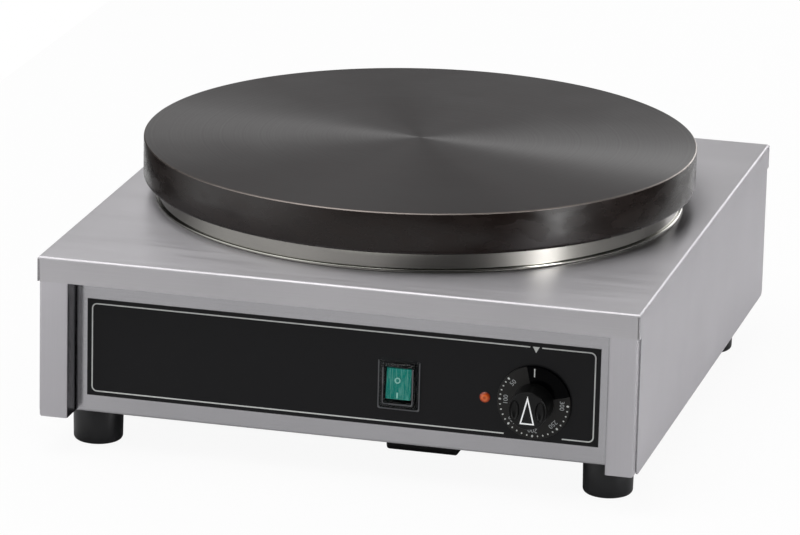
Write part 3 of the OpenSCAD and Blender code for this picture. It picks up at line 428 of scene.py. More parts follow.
@dataclass(frozen=True)
class HighlightStreakedPlastic(TintedPlastic):
    """Dyed clear plastic with paler upright streaks painted into its colour as highlights."""

    pale: str = "#5AA096"            # the colour of a painted highlight streak
    highlight_streak: Point = (0.9, 4.0, 12.0)    # a painted highlight streak's width, depth and height, in mm
    band: Span = (0.5, 0.66)         # from which level of the noise a streak starts to show, and shows fully
    most: float = 0.7                # share of the pale colour over a streak

    def paint(self, tree: Tree, shader: Node) -> None:
        """The dyed body, with the painted highlight streaks laid over it.

        Args:
            tree: The material's node tree.
            shader: Its Principled BSDF.
        """
        super().paint(tree, shader)
        highlight_streaks = self.speckle(tree, self.highlight_streak, detail=1.0)
        share = add_node(tree, "ShaderNodeMapRange", {0: highlight_streaks, 1: self.band[0], 2: self.band[1],
                                                      3: 0.0, 4: self.most})
        streaked = add_node(tree, "ShaderNodeMix", {0: share.outputs[0], 6: linear(self.colour),
                                                    7: linear(self.pale)}, data_type="RGBA")
        tree.links.new(streaked.outputs[2], shader.inputs["Base Color"])


@dataclass(frozen=True)
class PaintedLightLens(TintedPlastic):
    """Orange lens with light painted into its colour: a painted highlight ring round its middle, and painted
    shade, brown, at its rim.
    """

    centre: Point = (0.0, 0.0, 0.0)  # a point on the lens's axis, in mm
    reach: float = 4.2               # distance from the axis at which the last shade is reached, in mm
    shades: tuple[tuple[float, str], ...] = ((0.08, "#A8410C"), (0.4, "#DB6A28"), (0.68, "#B8440F"),
                                             (1.0, "#4A1504"))  # by the share of that distance

    def paint(self, tree: Tree, shader: Node) -> None:
        """The dyed body, with painted highlight and shade by the distance from the lens's axis.

        Args:
            tree: The material's node tree.
            shader: Its Principled BSDF.
        """
        super().paint(tree, shader)
        place = add_node(tree, "ShaderNodeTexCoord")
        flat = add_node(tree, "ShaderNodeVectorMath", {0: place.outputs["Object"], 1: (1.0, 0.0, 1.0)},
                        operation="MULTIPLY")
        apart = add_node(tree, "ShaderNodeVectorMath",
                         {0: flat.outputs[0], 1: (self.centre[0] * MM, 0.0, self.centre[2] * MM)},
                         operation="DISTANCE")
        share = add_node(tree, "ShaderNodeMath", {0: apart.outputs["Value"], 1: 1 / (self.reach * MM)},
                         operation="MULTIPLY")
        shade = add_node(tree, "ShaderNodeValToRGB", {0: share.outputs[0]})
        stops = shade.color_ramp.elements
        for at, _ in self.shades[1:-1]:
            stops.new(at)
        for stop, (at, colour) in zip(stops, self.shades):
            stop.position = at
            stop.color = linear(colour)
        tree.links.new(shade.outputs[0], shader.inputs["Base Color"])


@dataclass(frozen=True)
class ClearPlastic(Finish):
    """Clear soft PVC of the switch's splash cover: see-through, with a faint haze."""

    haze: float = 6.0                # size of the haze's patches, in mm
    ior: float = 1.12                # below PVC's 1.53, because so thin a wall hardly bends light

    def paint(self, tree: Tree, shader: Node) -> None:
        """Clear body with a faint haze.

        Args:
            tree: The material's node tree.
            shader: Its Principled BSDF.
        """
        patches = self.speckle(tree, (self.haze,) * 3)
        self.gloss(tree, shader, patches, spread=0.03)
        shader.inputs["Transmission Weight"].default_value = 1.0
        shader.inputs["IOR"].default_value = self.ior


@dataclass(frozen=True)
class PlatedSteel(Finish):
    """Zinc-plated or bare metal part: soft grey or coloured sheen with cloudy spangle."""

    spangle: float = 5.0             # size of the spangle, in mm

    def paint(self, tree: Tree, shader: Node) -> None:
        """Cloudy plating.

        Args:
            tree: The material's node tree.
            shader: Its Principled BSDF.
        """
        clouds = self.speckle(tree, (self.spangle,) * 3, detail=3.0)
        self.tint(tree, shader, clouds, dark=0.85, light=1.12)
        self.gloss(tree, shader, clouds, spread=0.07)
        shader.inputs["Metallic"].default_value = 1.0


@dataclass(frozen=True)
class Mineral(Finish):
    """Unglazed ceramic or a fibre blanket: matt and pale, with a soft grain."""

    grit: float = 1.5                # size of the grain, in mm
    height: float = 0.1              # of the grain, in mm

    def paint(self, tree: Tree, shader: Node) -> None:
        """Pale grain with a little relief.

        Args:
            tree: The material's node tree.
            shader: Its Principled BSDF.
        """
        grain = self.speckle(tree, (self.grit,) * 3, detail=4.0)
        self.tint(tree, shader, grain, dark=0.88, light=1.08)
        self.relief(tree, shader, grain, self.height)


# Stainless sheet of the casing, brushed: a soft grey with fine lines along the sheet's length
STEEL_X = BrushedSteel("brushed_stainless_across", "#BCBABD", 0.4)
STEEL_Z = BrushedSteel("brushed_stainless_upright", "#BAB8BC", 0.46, Grain.ALONG_Z)
STEEL_Y = BrushedSteel("brushed_stainless_lengthwise", "#B9B7BA", 0.46, Grain.ALONG_Y)
# The control panel's sheet, brushed finer, with clearer reflections; its darker colour paints the shade of
# its recess under the cover's skirt
STEEL_PANEL_PAINTED_SHADE = BrushedSteel("brushed_stainless_panel_painted_shade", "#A8A7AA", 0.2)
# The pillars' inner faces: a darker steel that paints the shade of the deep corner beside the control panel
STEEL_RETURN_PAINTED_SHADE = BrushedSteel("brushed_stainless_return_painted_shade", "#5F5E61", 0.2, Grain.ALONG_Z)
# Sheared edges of that sheet: darker, because the break is rough
STEEL_EDGE = CutSteel("sheared_stainless_edge", "#A4A2A5", 0.5)
# Stainless band under the plate, polished as it turned: nearly a mirror, with tall streaks of light
RING_STEEL = SpunSteel("polished_stainless_band", "#96958F", 0.11)
# Cast iron, faced on a lathe and seasoned: dark grey rings with two fans of light
PLATE_TOP = TurnedIron("turned_cast_iron", "#2B2828", 0.42)
# Cast iron as cast, under baked oil: near black with a brown cast
PLATE_SIDE = SeasonedIron("seasoned_cast_iron", "#160E0B", 0.27, specular=0.3)
# The plate's corner, worn to bare iron: a thin light line
PLATE_EDGE = PlatedSteel("worn_iron_corner", "#77706C", 0.4)
# Zinc-plated steel of the screws, nuts and brackets: soft bluish grey
ZINC = PlatedSteel("zinc_plated_steel", "#B4B4B8", 0.36)
# The heater's steel sheath, oxidised by heat: dull brownish grey
SHEATH = PlatedSteel("oxidised_heater_sheath", "#6F6A66", 0.5)
# Drawn copper of the thermostat's bulb and tube, and plain brass of the terminals: warm and bright
COPPER = PlatedSteel("drawn_copper", "#C08A5C", 0.3)
BRASS = PlatedSteel("plain_brass", "#C8A24A", 0.3)
# Moulded rubber of the feet and the gland's seal: black with a broad soft sheen
RUBBER = MouldedPlastic("moulded_black_rubber", "#161618", 0.36, grit=0.9, specular=0.32, height=0.004)
# Back-printed polycarbonate foil of the control panel: deep black with a satin face
FOIL = MouldedPlastic("printed_polycarbonate_foil", "#111113", 0.34, grit=0.8, specular=0.16, height=0.001)
# Moulded phenolic of the grip: black and half glossy
KNOB = MouldedPlastic("moulded_black_phenolic", "#0B0B0B", 0.34, grit=0.7, specular=0.2, height=0.002)
# The dial's sector without a scale, polished and near black: its black paints the grip's dark reflection in
# it
DIAL_PAINTED_REFLECTION = MouldedPlastic("dial_sector_painted_grip_reflection", "#020203", 0.12, grit=0.9, specular=0.03, height=0.001)
# Where the dial carries its scale: satin and a shade browner than the bare sector
SCALE_FIELD = MouldedPlastic("satin_scale_field", "#1B1A19", 0.42, grit=0.9, specular=0.2, height=0.001)
# Polyamide of the terminal cover and the switch, polished in the mould: deep black with little sheen
SMOOTH_BLACK = MouldedPlastic("smooth_black_polyamide", "#060607", 0.4, specular=0.12, height=0.001)
# Grained polyamide of the gland: black, a little greyer for its grain
HOUSING = MouldedPlastic("black_polyamide", "#161618", 0.4, specular=0.35)
# Screen-printed ink of the border and the dots: pale grey, matt
INK = MouldedPlastic("printed_pale_ink", "#C6C8C6", 0.5, grit=0.4, specular=0.3)
# The pointer's ink: whiter and thicker
POINTER_INK = MouldedPlastic("printed_white_ink", "#F2F3F3", 0.45, grit=0.4, specular=0.3, height=0.001)
# The numbers' ink: finer and dimmer than the panel's
SCALE_INK = MouldedPlastic("printed_scale_ink", "#A2A5A6", 0.5, grit=0.4, specular=0.2)
# The O and I on the rocker: pale ink, tinted by the green below
RIM_INK = MouldedPlastic("pale_green_marking", "#8FC7BC", 0.45, grit=0.4, specular=0.2, height=0.001)
# Thick edges of the clear cover: a pale grey for their haze and for the light that they catch, a painted
# highlight; the top edge, in shade, is left clear
COVER_EDGE_HAZE_AND_HIGHLIGHT = MouldedPlastic("cover_rim_haze_and_painted_highlight", "#4C4D50", 0.3, specular=0.5, height=0.001)
# Dyed clear plastic of the rocker: green, with pale upright streaks painted on as highlights
GREEN = HighlightStreakedPlastic("green_rocker_plastic", "#007C70", 0.3, grit=0.3, specular=0.15, height=0.001)
# Dyed clear plastic of the lamp's lens: orange, with a painted highlight ring and painted shade at its rim
ORANGE = PaintedLightLens("orange_lens_plastic", "#C8501A", 0.25, specular=0.3, height=0.001, coat=0.3)
# Clear soft PVC of the splash cover: all but unseen, apart from its edges
COVER_CLEAR = ClearPlastic("clear_splash_cover", "#F4F8F8", 0.04)
# Unglazed ceramic of the insulators and terminals: matt cream
CERAMIC = Mineral("unglazed_ceramic", "#E8E4DA", 0.6, grit=1.2)
# Ceramic fibre blanket of the insulation: matt, soft and off-white
FIBRE = Mineral("ceramic_fibre_blanket", "#E9E6DD", 0.9, grit=2.5)
# Extruded sheath of the wires: even colours with a soft sheen
WIRE_BROWN = MouldedPlastic("brown_wire_sheath", "#6A3A1E", 0.4)
WIRE_BLUE = MouldedPlastic("blue_wire_sheath", "#2A4F8F", 0.4)
WIRE_GREEN = MouldedPlastic("green_wire_sheath", "#4F9A3A", 0.4)

# Nodes that keep their shape from the frame, by their finish
KEPT_NODES: dict[Finish, tuple[str, ...]] = {
    # the front panel's darker steel is painted shade
    STEEL_PANEL_PAINTED_SHADE: ("front_panel",),
    STEEL_X: ("back_panel",),
    STEEL_Y: ("base_plate",),
    FOIL: ("control_fascia",),
    ZINC: ("base_screws", "base_nuts", "back_panel_screws", "foot_screws", "foot_nuts", "element_clamp",
           "plate_studs", "stud_nuts", "heat_pan", "front_bridge", "back_bridge", "thermostat_body",
           "thermostat_shaft", "thermostat_screws", "bulb_clip", "bulb_clip_screw", "knob_clip",
           "switch_pin", "lamp_clip", "terminal_block_screws", "terminal_cover_screws"),
    SMOOTH_BLACK: ("terminal_cover", "switch_housing"),
    HOUSING: ("gland_body", "gland_nut", "gland_locknut"),
    RUBBER: ("gland_seal",),
    SHEATH: ("heating_element",),
    COPPER: ("thermostat_bulb", "capillary_tube"),
    BRASS: ("switch_terminals", "earth_stud"),
    CERAMIC: ("element_insulators", "lamp_body", "terminal_block"),
    FIBRE: ("insulation_disc",),
    WIRE_BROWN: ("live_wires",),
    WIRE_BLUE: ("neutral_wires",),
    WIRE_GREEN: ("earth_wire",),
}


# Meshes ---------------------------------------------------------------------------------------------


def corners(node: str) -> tuple[Vector, Vector]:
    """A node's lowest and highest corner, in millimetres."""
    low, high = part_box(node)
    return low / MM, high / MM


def middle(node: str) -> Vector:
    """The middle of a node's box, in millimetres."""
    low, high = corners(node)
    return (low + high) / 2


def box_form(low: Vector, high: Vector) -> Form:
    """Makes a closed box.

    Args:
        low: Its lowest corner.
        high: Its highest corner.

    Returns:
        The box, its normals up to date.
    """
    form = bmesh.new()
    bmesh.ops.create_cube(form, size=1.0)
    bmesh.ops.scale(form, vec=high - low, verts=form.verts)
    bmesh.ops.translate(form, vec=(low + high) / 2, verts=form.verts)
    form.normal_update()
    return form


def spun_form(outline: list[Span], steps: int, closed: bool = True) -> Form:
    """Spins an outline round the Z axis.

    Args:
        outline: Points as distance from the axis and height.
        steps: How many steps a full turn has.
        closed: Whether the outline's last point joins its first.

    Returns:
        The closed form, its doubles merged and its faces pointing outwards.
    """
    form = bmesh.new()
    points = [form.verts.new((r, 0.0, z)) for r, z in outline]
    pairs = list(zip(points, points[1:]))
    if closed:
        pairs.append((points[-1], points[0]))
    sides = [form.edges.new(pair) for pair in pairs]
    bmesh.ops.spin(form, geom=points + sides, cent=(0, 0, 0), axis=(0, 0, 1), dvec=(0, 0, 0),
                   angle=math.tau, steps=steps, use_merge=True, use_normal_flip=False,
                   use_duplicate=False)
    bmesh.ops.remove_doubles(form, verts=form.verts, dist=NEAR / 4)
    bmesh.ops.recalc_face_normals(form, faces=form.faces)
    return form


def round_edges(form: Form, edges: Edges, size: float, segments: int = 3) -> None:
    """Rounds edges.

    Args:
        form: The form that the edges belong to.
        edges: The edges.
        size: The radius.
        segments: Steps of the rounding.
    """
    bmesh.ops.bevel(form, geom=edges, offset=size, offset_type="OFFSET", affect="EDGES",
                    segments=segments, profile=0.5, material=-1, clamp_overlap=True)
    form.normal_update()


def circle_edges(form: Form, r: float, z: float) -> Edges:
    """The edges of a form that run round the Z axis at a distance and a height."""
    return [e for e in form.edges
            if all(abs(v.co.z - z) < NEAR and abs(v.co.xy.length - r) < NEAR for v in e.verts)]


def cut(form: Form, place: Vector, way: Vector) -> None:
    """Cuts every face along a plane; nothing is taken away."""
    bmesh.ops.bisect_plane(form, geom=form.verts[:] + form.edges[:] + form.faces[:], dist=NEAR / 10,
                           plane_co=place, plane_no=way)
    form.normal_update()


def remove_faces(form: Form, faces: Faces) -> None:
    """Deletes faces, with the edges and vertices that only they used."""
    bmesh.ops.delete(form, geom=faces, context="FACES")


def on_panel(x: float, y: float, z: float) -> Matrix:
    """Puts a form that was made flat, with +Z out of it, on an upright face that looks to the front."""
    return Matrix.Translation((x, y, z)) @ Matrix.Rotation(math.radians(90), 4, "X")


def flat_form(points: list[Span], thickness: float) -> Form:
    """Makes a thin plate with a straight-sided outline.

    Args:
        points: The outline's corners.
        thickness: The plate's thickness.

    Returns:
        The closed plate, from z = 0 up to its thickness.
    """
    form = bmesh.new()
    form.faces.new([form.verts.new((x, y, 0.0)) for x, y in points])
    bmesh.ops.recalc_face_normals(form, faces=form.faces)
    thicken(form, thickness)
    return form


def thicken(form: Form, thickness: float) -> None:
    """Raises flat faces at z = 0 into closed plates.

    Args:
        form: The form, which has only such faces.
        thickness: How far they are raised.
    """
    base = form.faces[:]
    raised = bmesh.ops.extrude_face_region(form, geom=base, use_keep_orig=True)["geom"]
    bmesh.ops.translate(form, vec=(0, 0, thickness),
                        verts=[v for v in raised if isinstance(v, bmesh.types.BMVert)])
    bmesh.ops.recalc_face_normals(form, faces=form.faces)


def keep_rim(form: Form, width: float) -> None:
    """Leaves only the rim of flat faces.

    Args:
        form: The form, which has only such faces.
        width: The rim's width.
    """
    form.normal_update()
    kept = bmesh.ops.inset_region(form, faces=form.faces[:], thickness=width, use_boundary=True,
                                  use_even_offset=True)["faces"]
    remove_faces(form, [f for f in form.faces if f not in kept])


def add_object(name: str, data: bpy.types.ID) -> Piece:
    """Puts an object into the scene.

    Args:
        name: Its name.
        data: Its mesh, letters, light or camera.

    Returns:
        The new object.
    """
    made = bpy.data.objects.new(name, data)
    bpy.context.scene.collection.objects.link(made)
    return made


def settled_mesh(piece: Piece) -> bpy.types.Mesh:
    """A new mesh with the shape that an object has after its modifiers."""
    bpy.context.view_layer.update()
    return bpy.data.meshes.new_from_object(piece.evaluated_get(bpy.context.evaluated_depsgraph_get()))


def make_piece(name: str, form: Form, body: str, finishes: list[Finish], replaced: tuple[str, ...] = (),
               place: Matrix | None = None, crease: float = 35.0) -> Piece:
    """Turns a form into a piece of the object.

    Args:
        name: The piece's name.
        form: Its form in millimetres, which is used up.
        body: The body that it moves with.
        finishes: The finishes that its faces' material numbers stand for.
        replaced: The nodes that it stands for.
        place: Where the form goes; as it is if left out.
        crease: The angle in degrees past which an edge shows.

    Returns:
        The finished piece, at the origin and unturned.
    """
    bmesh.ops.transform(form, matrix=Matrix.Scale(MM, 4) @ (place or Matrix()), verts=form.verts)
    mesh = bpy.data.meshes.new(name)
    form.to_mesh(mesh)
    form.free()
    for finish in finishes:
        mesh.materials.append(finish.material())
    mesh.shade_smooth()
    mesh.set_sharp_from_angle(angle=math.radians(crease))
    piece = add_object(name, mesh)
    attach(piece, body)
    if replaced:
        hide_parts(*replaced)
    LOG.info("%s: %d faces on %s", name, len(mesh.polygons), body)
    return piece


def add_wall(piece: Piece, thickness: float) -> bpy.types.SolidifyModifier:
    """Gives a sheet its wall, inwards.

    Args:
        piece: A piece whose mesh is the sheet's outer face.
        thickness: The wall in millimetres.

    Returns:
        The modifier that makes the wall.
    """
    wall = piece.modifiers.new("wall", "SOLIDIFY")
    wall.thickness = thickness * MM
    wall.offset = -1.0
    wall.use_even_offset = True
    return wall


def soften(piece: Piece, name: str, width: float, angle: float, segments: int) -> None:
    """Rounds a piece's sharp edges a little, so that they catch the light.

    Args:
        piece: The piece.
        name: What the modifier is called.
        width: Width of the rounding in millimetres.
        angle: The angle in degrees past which an edge is rounded.
        segments: Steps of the rounding.
    """
    edge = piece.modifiers.new(name, "BEVEL")
    edge.width = width * MM
    edge.segments = segments
    edge.limit_method = "ANGLE"
    edge.angle_limit = math.radians(angle)
    edge.harden_normals = True


def finish_sheet(piece: Piece, thickness: float) -> None:
    """Gives sheet steel its wall; a cut edge takes the finish that follows its face's own."""
    add_wall(piece, thickness).material_offset_rim = 1
    soften(piece, "broken_edges", SHEET_BREAK, SHEET_CREASE, segments=2)


def carve(piece: Piece, tool: Form, place: Matrix) -> None:
    """Takes a closed form away from a piece for good.

    Args:
        piece: The piece, whose mesh changes.
        tool: The form in millimetres, which is used up.
        place: Where the form goes.
    """
    bmesh.ops.transform(tool, matrix=Matrix.Scale(MM, 4) @ place, verts=tool.verts)
    mesh = bpy.data.meshes.new("carving_tool")
    tool.to_mesh(mesh)
    tool.free()
    helper = add_object("carving_tool", mesh)
    step = piece.modifiers.new("carve", "BOOLEAN")
    step.operation = "DIFFERENCE"
    step.solver = "EXACT"
    step.object = helper
    carved = settled_mesh(piece)
    piece.modifiers.clear()
    piece.data = carved
    bpy.data.objects.remove(helper)


# Sub-assemblies -------------------------------------------------------------------------------------


@dataclass
class Cover:
    """The one-piece cover: top, low skirts in front and behind, and full-height side walls.

    Attributes:
        sheet: Thickness of the sheet.
        bend: Outer radius of its bends.
        skirt: Height of the skirts.
        seam: Open seam between a skirt and the side wall.
        side_cut: How far the side walls stand back below the skirts.
        side_round: Rounding of the side walls' lower corners.
        hole: Radius of the hole under the plate.
        hole_steps: Segments of the hole.
        upright: Share of a normal that points sideways when its face is brushed upright.
    """

    sheet: float = 1.0
    bend: float = 2.0
    skirt: float = 18.0
    seam: float = 0.5
    side_cut: float = 6.0
    side_round: float = 5.0
    hole: float = 172.5
    hole_steps: int = 128
    upright: float = 0.7

    def build(self) -> None:
        """Folds the cover from a box and gives it its wall."""
        low, high = corners("top_panel")
        form = box_form(low, high)
        remove_faces(form, [f for f in form.faces if f.normal.z < -FLAT])
        round_edges(form, [e for e in form.edges if all(v.co.z > high.z - NEAR for v in e.verts)],
                    self.bend, BEND_STEPS)
        self.trim(form, high)
        self.pierce(form, high)
        lower = [v for v in form.verts if abs(v.co.z - low.z) < NEAR and len(v.link_faces) == 1
                 and abs(abs(v.co.y) - (high.y - self.side_cut)) < NEAR]
        bmesh.ops.bevel(form, geom=lower, offset=self.side_round, offset_type="OFFSET",
                        affect="VERTICES", segments=CORNER_STEPS, profile=0.5, material=-1)
        form.normal_update()
        for face in form.faces:
            face.material_index = 2 if abs(face.normal.x) > self.upright else 0
        piece = make_piece("cover", form, "casing", [STEEL_X, STEEL_EDGE, STEEL_Z, STEEL_EDGE],
                           ("top_panel",), crease=SHEET_CREASE)
        finish_sheet(piece, self.sheet)

    def trim(self, form: Form, high: Vector) -> None:
        """Cuts the skirts to their height, opens the seams and sets the side walls back.

        Args:
            form: The folded cover.
            high: The highest corner of its box.
        """
        under = high.z - self.skirt
        seam_x = high.x - self.sheet - self.seam
        back_y = high.y - self.side_cut
        cut(form, Vector((0, 0, under)), Vector((0, 0, 1)))
        for side in (-1, 1):
            cut(form, Vector((side * seam_x, 0, 0)), Vector((1, 0, 0)))
            cut(form, Vector((0, side * back_y, 0)), Vector((0, 1, 0)))
        gone = []
        for face in form.faces:
            centre = face.calc_center_median()
            if abs(face.normal.y) > FLAT:
                below = centre.z < under
                in_seam = abs(centre.x) > seam_x and centre.z < high.z - self.bend
                if below or in_seam:
                    gone.append(face)
            elif abs(face.normal.x) > FLAT and centre.z < under and abs(centre.y) > back_y:
                gone.append(face)
        remove_faces(form, gone)

    def pierce(self, form: Form, high: Vector) -> None:
        """Cuts the round hole in the top.

        Args:
            form: The folded cover.
            high: The highest corner of its box.
        """
        centre = [f for f in form.faces if f.normal.z > FLAT and f.calc_center_median().xy.length < APART]
        border = [e for f in centre for e in f.edges]
        bmesh.ops.delete(form, geom=centre, context="FACES_ONLY")
        made = bmesh.ops.create_circle(form, cap_ends=False, segments=self.hole_steps, radius=self.hole,
                                       matrix=Matrix.Translation((0, 0, high.z)))
        rim = list({e for v in made["verts"] for e in v.link_edges})
        filled = bmesh.ops.triangle_fill(form, use_beauty=True, use_dissolve=False, edges=border + rim,
                                         normal=(0, 0, 1))
        for face in filled["geom"]:
            if isinstance(face, bmesh.types.BMFace) and face.normal.z < 0:
                face.normal_flip()


@dataclass
class SideFrame:
    """A side panel inside the cover: its pillar at the front, and the flange that carries the feet.

    Attributes:
        side: 1 for the right one and -1 for the left one.
        sheet: Thickness of the sheet.
        bend: Outer radius of its bends.
        pillar: Width of the pillar.
        reach: How far the pillar's return runs back.
    """

    side: int
    sheet: float = 1.0
    bend: float = 2.0
    pillar: float = 20.5
    reach: float = 31.0

    def build(self) -> None:
        """Folds the panel from a box, open on its inner side."""
        name = "right_side_panel" if self.side > 0 else "left_side_panel"
        low, high = corners("right_side_panel")
        inner = high.x - self.pillar
        form = box_form(Vector((inner, low.y, low.z)), high)
        upright = [e for e in form.edges
                   if abs(e.verts[0].co.z - e.verts[1].co.z) > APART
                   and not (e.verts[0].co.x < inner + NEAR and e.verts[0].co.y > 0)]
        along = [e for e in form.edges if all(v.co.x > high.x - NEAR for v in e.verts)
                 and abs(e.verts[0].co.y - e.verts[1].co.y) > APART]
        round_edges(form, upright + along, self.bend, BEND_STEPS)
        cut(form, Vector((0, low.y + self.reach, 0)), Vector((0, 1, 0)))
        remove_faces(form, [f for f in form.faces
                            if f.normal.x < -NEARLY and f.calc_center_median().y > low.y + self.reach])
        edge = [e for e in form.edges
                if all(abs(v.co.x - inner) < NEAR and abs(v.co.z - low.z) < NEAR
                       and v.co.y > low.y + self.reach - NEAR for v in e.verts)]
        grown = bmesh.ops.extrude_edge_only(form, edges=edge)["geom"]
        bmesh.ops.translate(form, vec=(low.x - inner, 0, 0),
                            verts=[v for v in grown if isinstance(v, bmesh.types.BMVert)])
        bmesh.ops.recalc_face_normals(form, faces=form.faces)
        if self.side < 0:
            bmesh.ops.scale(form, vec=(-1, 1, 1), verts=form.verts)
            bmesh.ops.reverse_faces(form, faces=form.faces)
        form.normal_update()
        outward = sum(f.normal.z * f.calc_area() for f in form.faces
                      if f.calc_center_median().z > high.z - APART)
        if outward < 0:
            bmesh.ops.reverse_faces(form, faces=form.faces)
        # The inner faces, the pillar's return among them, take the darker steel of painted shade
        for face in form.faces:
            inward = face.normal.x * self.side < -NEARLY
            face.material_index = 2 if inward else 0
        piece = make_piece(name + "_sheet", form, "casing", [STEEL_Z, STEEL_EDGE, STEEL_RETURN_PAINTED_SHADE, STEEL_EDGE],
                           (name,), crease=SHEET_CREASE)
        finish_sheet(piece, self.sheet)


@dataclass
class CookingPlate:
    """The cast plate with its turned top, and the polished band under it.

    Attributes:
        rim: Width of the plate's lower edge.
        recess: Depth of the hollow under the plate.
        lower_round: Rounding of the lower outer edge.
        corner: Width of the chamfer of the upper edge.
        corner_round: Rounding of the chamfer's own edges.
        wall: Thickness of the band.
        lip: Radius of the rolled lip round the band's foot.
        tuck: How far the band's wall stands inside the lip's centre, as a share of the lip's radius.
        roll_steps: Segments of the rolled lip.
        steps: Segments of a full turn.
    """

    rim: float = 9.0
    recess: float = 14.0
    lower_round: float = 3.0
    corner: float = 0.8
    corner_round: float = 0.25
    wall: float = 1.0
    lip: float = 1.4
    tuck: float = 0.35
    roll_steps: int = 16
    steps: int = 240

    def build(self) -> None:
        """Builds the plate and the band."""
        low, high = corners("cooking_plate")
        r = round(high.x)
        form = spun_form([(0.0, high.z), (r - self.corner, high.z), (r, high.z - self.corner),
                          (r, low.z), (r - self.rim, low.z), (r - self.rim, low.z + self.recess),
                          (0.0, low.z + self.recess)], self.steps, closed=False)
        round_edges(form, circle_edges(form, r, low.z), self.lower_round, BEND_STEPS)
        round_edges(form, circle_edges(form, r - self.corner, high.z)
                    + circle_edges(form, r, high.z - self.corner), self.corner_round, segments=2)
        for face in form.faces:
            height = face.calc_center_median().z
            if face.normal.z > FLAT:
                face.material_index = 0
            elif height > high.z - self.corner - NEAR:
                face.material_index = 2
            else:
                face.material_index = 1
        make_piece("turned_plate", form, "casing", [PLATE_TOP, PLATE_SIDE, PLATE_EDGE],
                   ("cooking_plate",))
        self.band()

    def band(self) -> None:
        """Builds the band: an upright wall that ends in a rolled lip round its foot."""
        low, high = corners("plate_ring")
        centre_r = high.x - self.lip
        wall_r = centre_r - self.tuck * self.lip
        start = math.acos((wall_r - centre_r) / self.lip)
        roll = [(centre_r + self.lip * math.cos(a), low.z + self.lip + self.lip * math.sin(a))
                for a in (start - (start + math.pi / 2) * i / self.roll_steps
                          for i in range(self.roll_steps + 1))]
        form = spun_form([(wall_r - self.wall, low.z), (wall_r - self.wall, high.z), (wall_r, high.z), *roll],
                         self.steps)
        make_piece("polished_band", form, "casing", [RING_STEEL], ("plate_ring",))


@dataclass
class Feet:
    """Four moulded rubber feet, each with a well for its screw.

    Attributes:
        top: Radius at the top.
        bottom: Radius at the bottom.
        edge: Rounding of the bottom edge.
        top_edge: Rounding of the top edge.
        well: Radius and depth of the screw's well.
        bore: Radius of the screw's hole.
        steps: Segments of a full turn.
    """

    top: float = 18.0
    bottom: float = 17.5
    edge: float = 3.0
    top_edge: float = 0.5
    well: Span = (6.6, 16.0)
    bore: float = 3.2
    steps: int = 72

    def build(self) -> None:
        """Builds the four feet where the frame has them."""
        for end in ("front", "back"):
            for side in ("left", "right"):
                node = f"foot_{end}_{side}"
                place = middle(node)
                high = corners(node)[1].z
                form = spun_form([(self.bore, high), (self.top, high), (self.bottom, 0.0),
                                  (self.well[0], 0.0), self.well, (self.bore, self.well[1])], self.steps)
                round_edges(form, circle_edges(form, self.bottom, 0.0), self.edge, BEND_STEPS)
                round_edges(form, circle_edges(form, self.top, high), self.top_edge, segments=2)
                make_piece("rubber_" + node, form, "casing", [RUBBER], (node,),
                           Matrix.Translation((place.x, place.y, 0.0)))


@dataclass
class PanelPrint:
    """What is printed on the control panel's foil: a border line and the mark over the knob.

    Attributes:
        inset: Distance of the line from the foil's side edges.
        top_inset: Distance of the line from the foil's upper and lower edges.
        line: Width of the line.
        round: Radius of its corners.
        film: Thickness of the ink.
        sunk: How deep the ink reaches into the foil.
        low_gap: Where the lower line stops for the dial, from and to.
        top_gap: Half the gap in the upper line round the mark.
        mark: Half width and height of the mark.
    """

    inset: float = 3.2
    top_inset: float = 2.8
    line: float = 0.9
    round: float = 4.0
    film: float = 0.05
    sunk: float = 0.01
    low_gap: Span = (117.2, 158.4)
    top_gap: float = 4.2
    mark: Span = (2.4, 4.4)

    def build(self) -> None:
        """Prints the border and the mark."""
        low, high = corners("control_fascia")
        knob = middle("knob_dial")
        half_w = (high.x - low.x) / 2 - self.inset
        half_h = (high.z - low.z) / 2 - self.top_inset
        centre = (low + high) / 2
        place = on_panel(centre.x, low.y + self.sunk, centre.z)
        form = bmesh.new()
        form.faces.new([form.verts.new((x, y, 0)) for x, y in
                        ((-half_w, -half_h), (half_w, -half_h), (half_w, half_h), (-half_w, half_h))])
        bmesh.ops.bevel(form, geom=form.verts[:], offset=self.round, offset_type="OFFSET",
                        affect="VERTICES", segments=CORNER_STEPS, profile=0.5, material=-1)
        keep_rim(form, self.line)
        knob_x = knob.x - centre.x
        gaps = [(*self.low_gap, -1), (knob_x - self.top_gap, knob_x + self.top_gap, 1)]
        for start, end, _ in gaps:
            for x in (start, end):
                cut(form, Vector((x, 0, 0)), Vector((1, 0, 0)))
        remove_faces(form, [f for f in form.faces for start, end, way in gaps
                            if start < f.calc_center_median().x < end and f.calc_center_median().y * way > 0])
        thicken(form, self.film)
        make_piece("panel_border", form, "casing", [INK], place=place)
        half, tall = self.mark
        form = flat_form([(-half, half_h), (half, half_h), (0.0, half_h - tall)], self.film)
        make_piece("panel_mark", form, "casing", [INK], place=place @ Matrix.Translation((knob_x, 0, 0)))


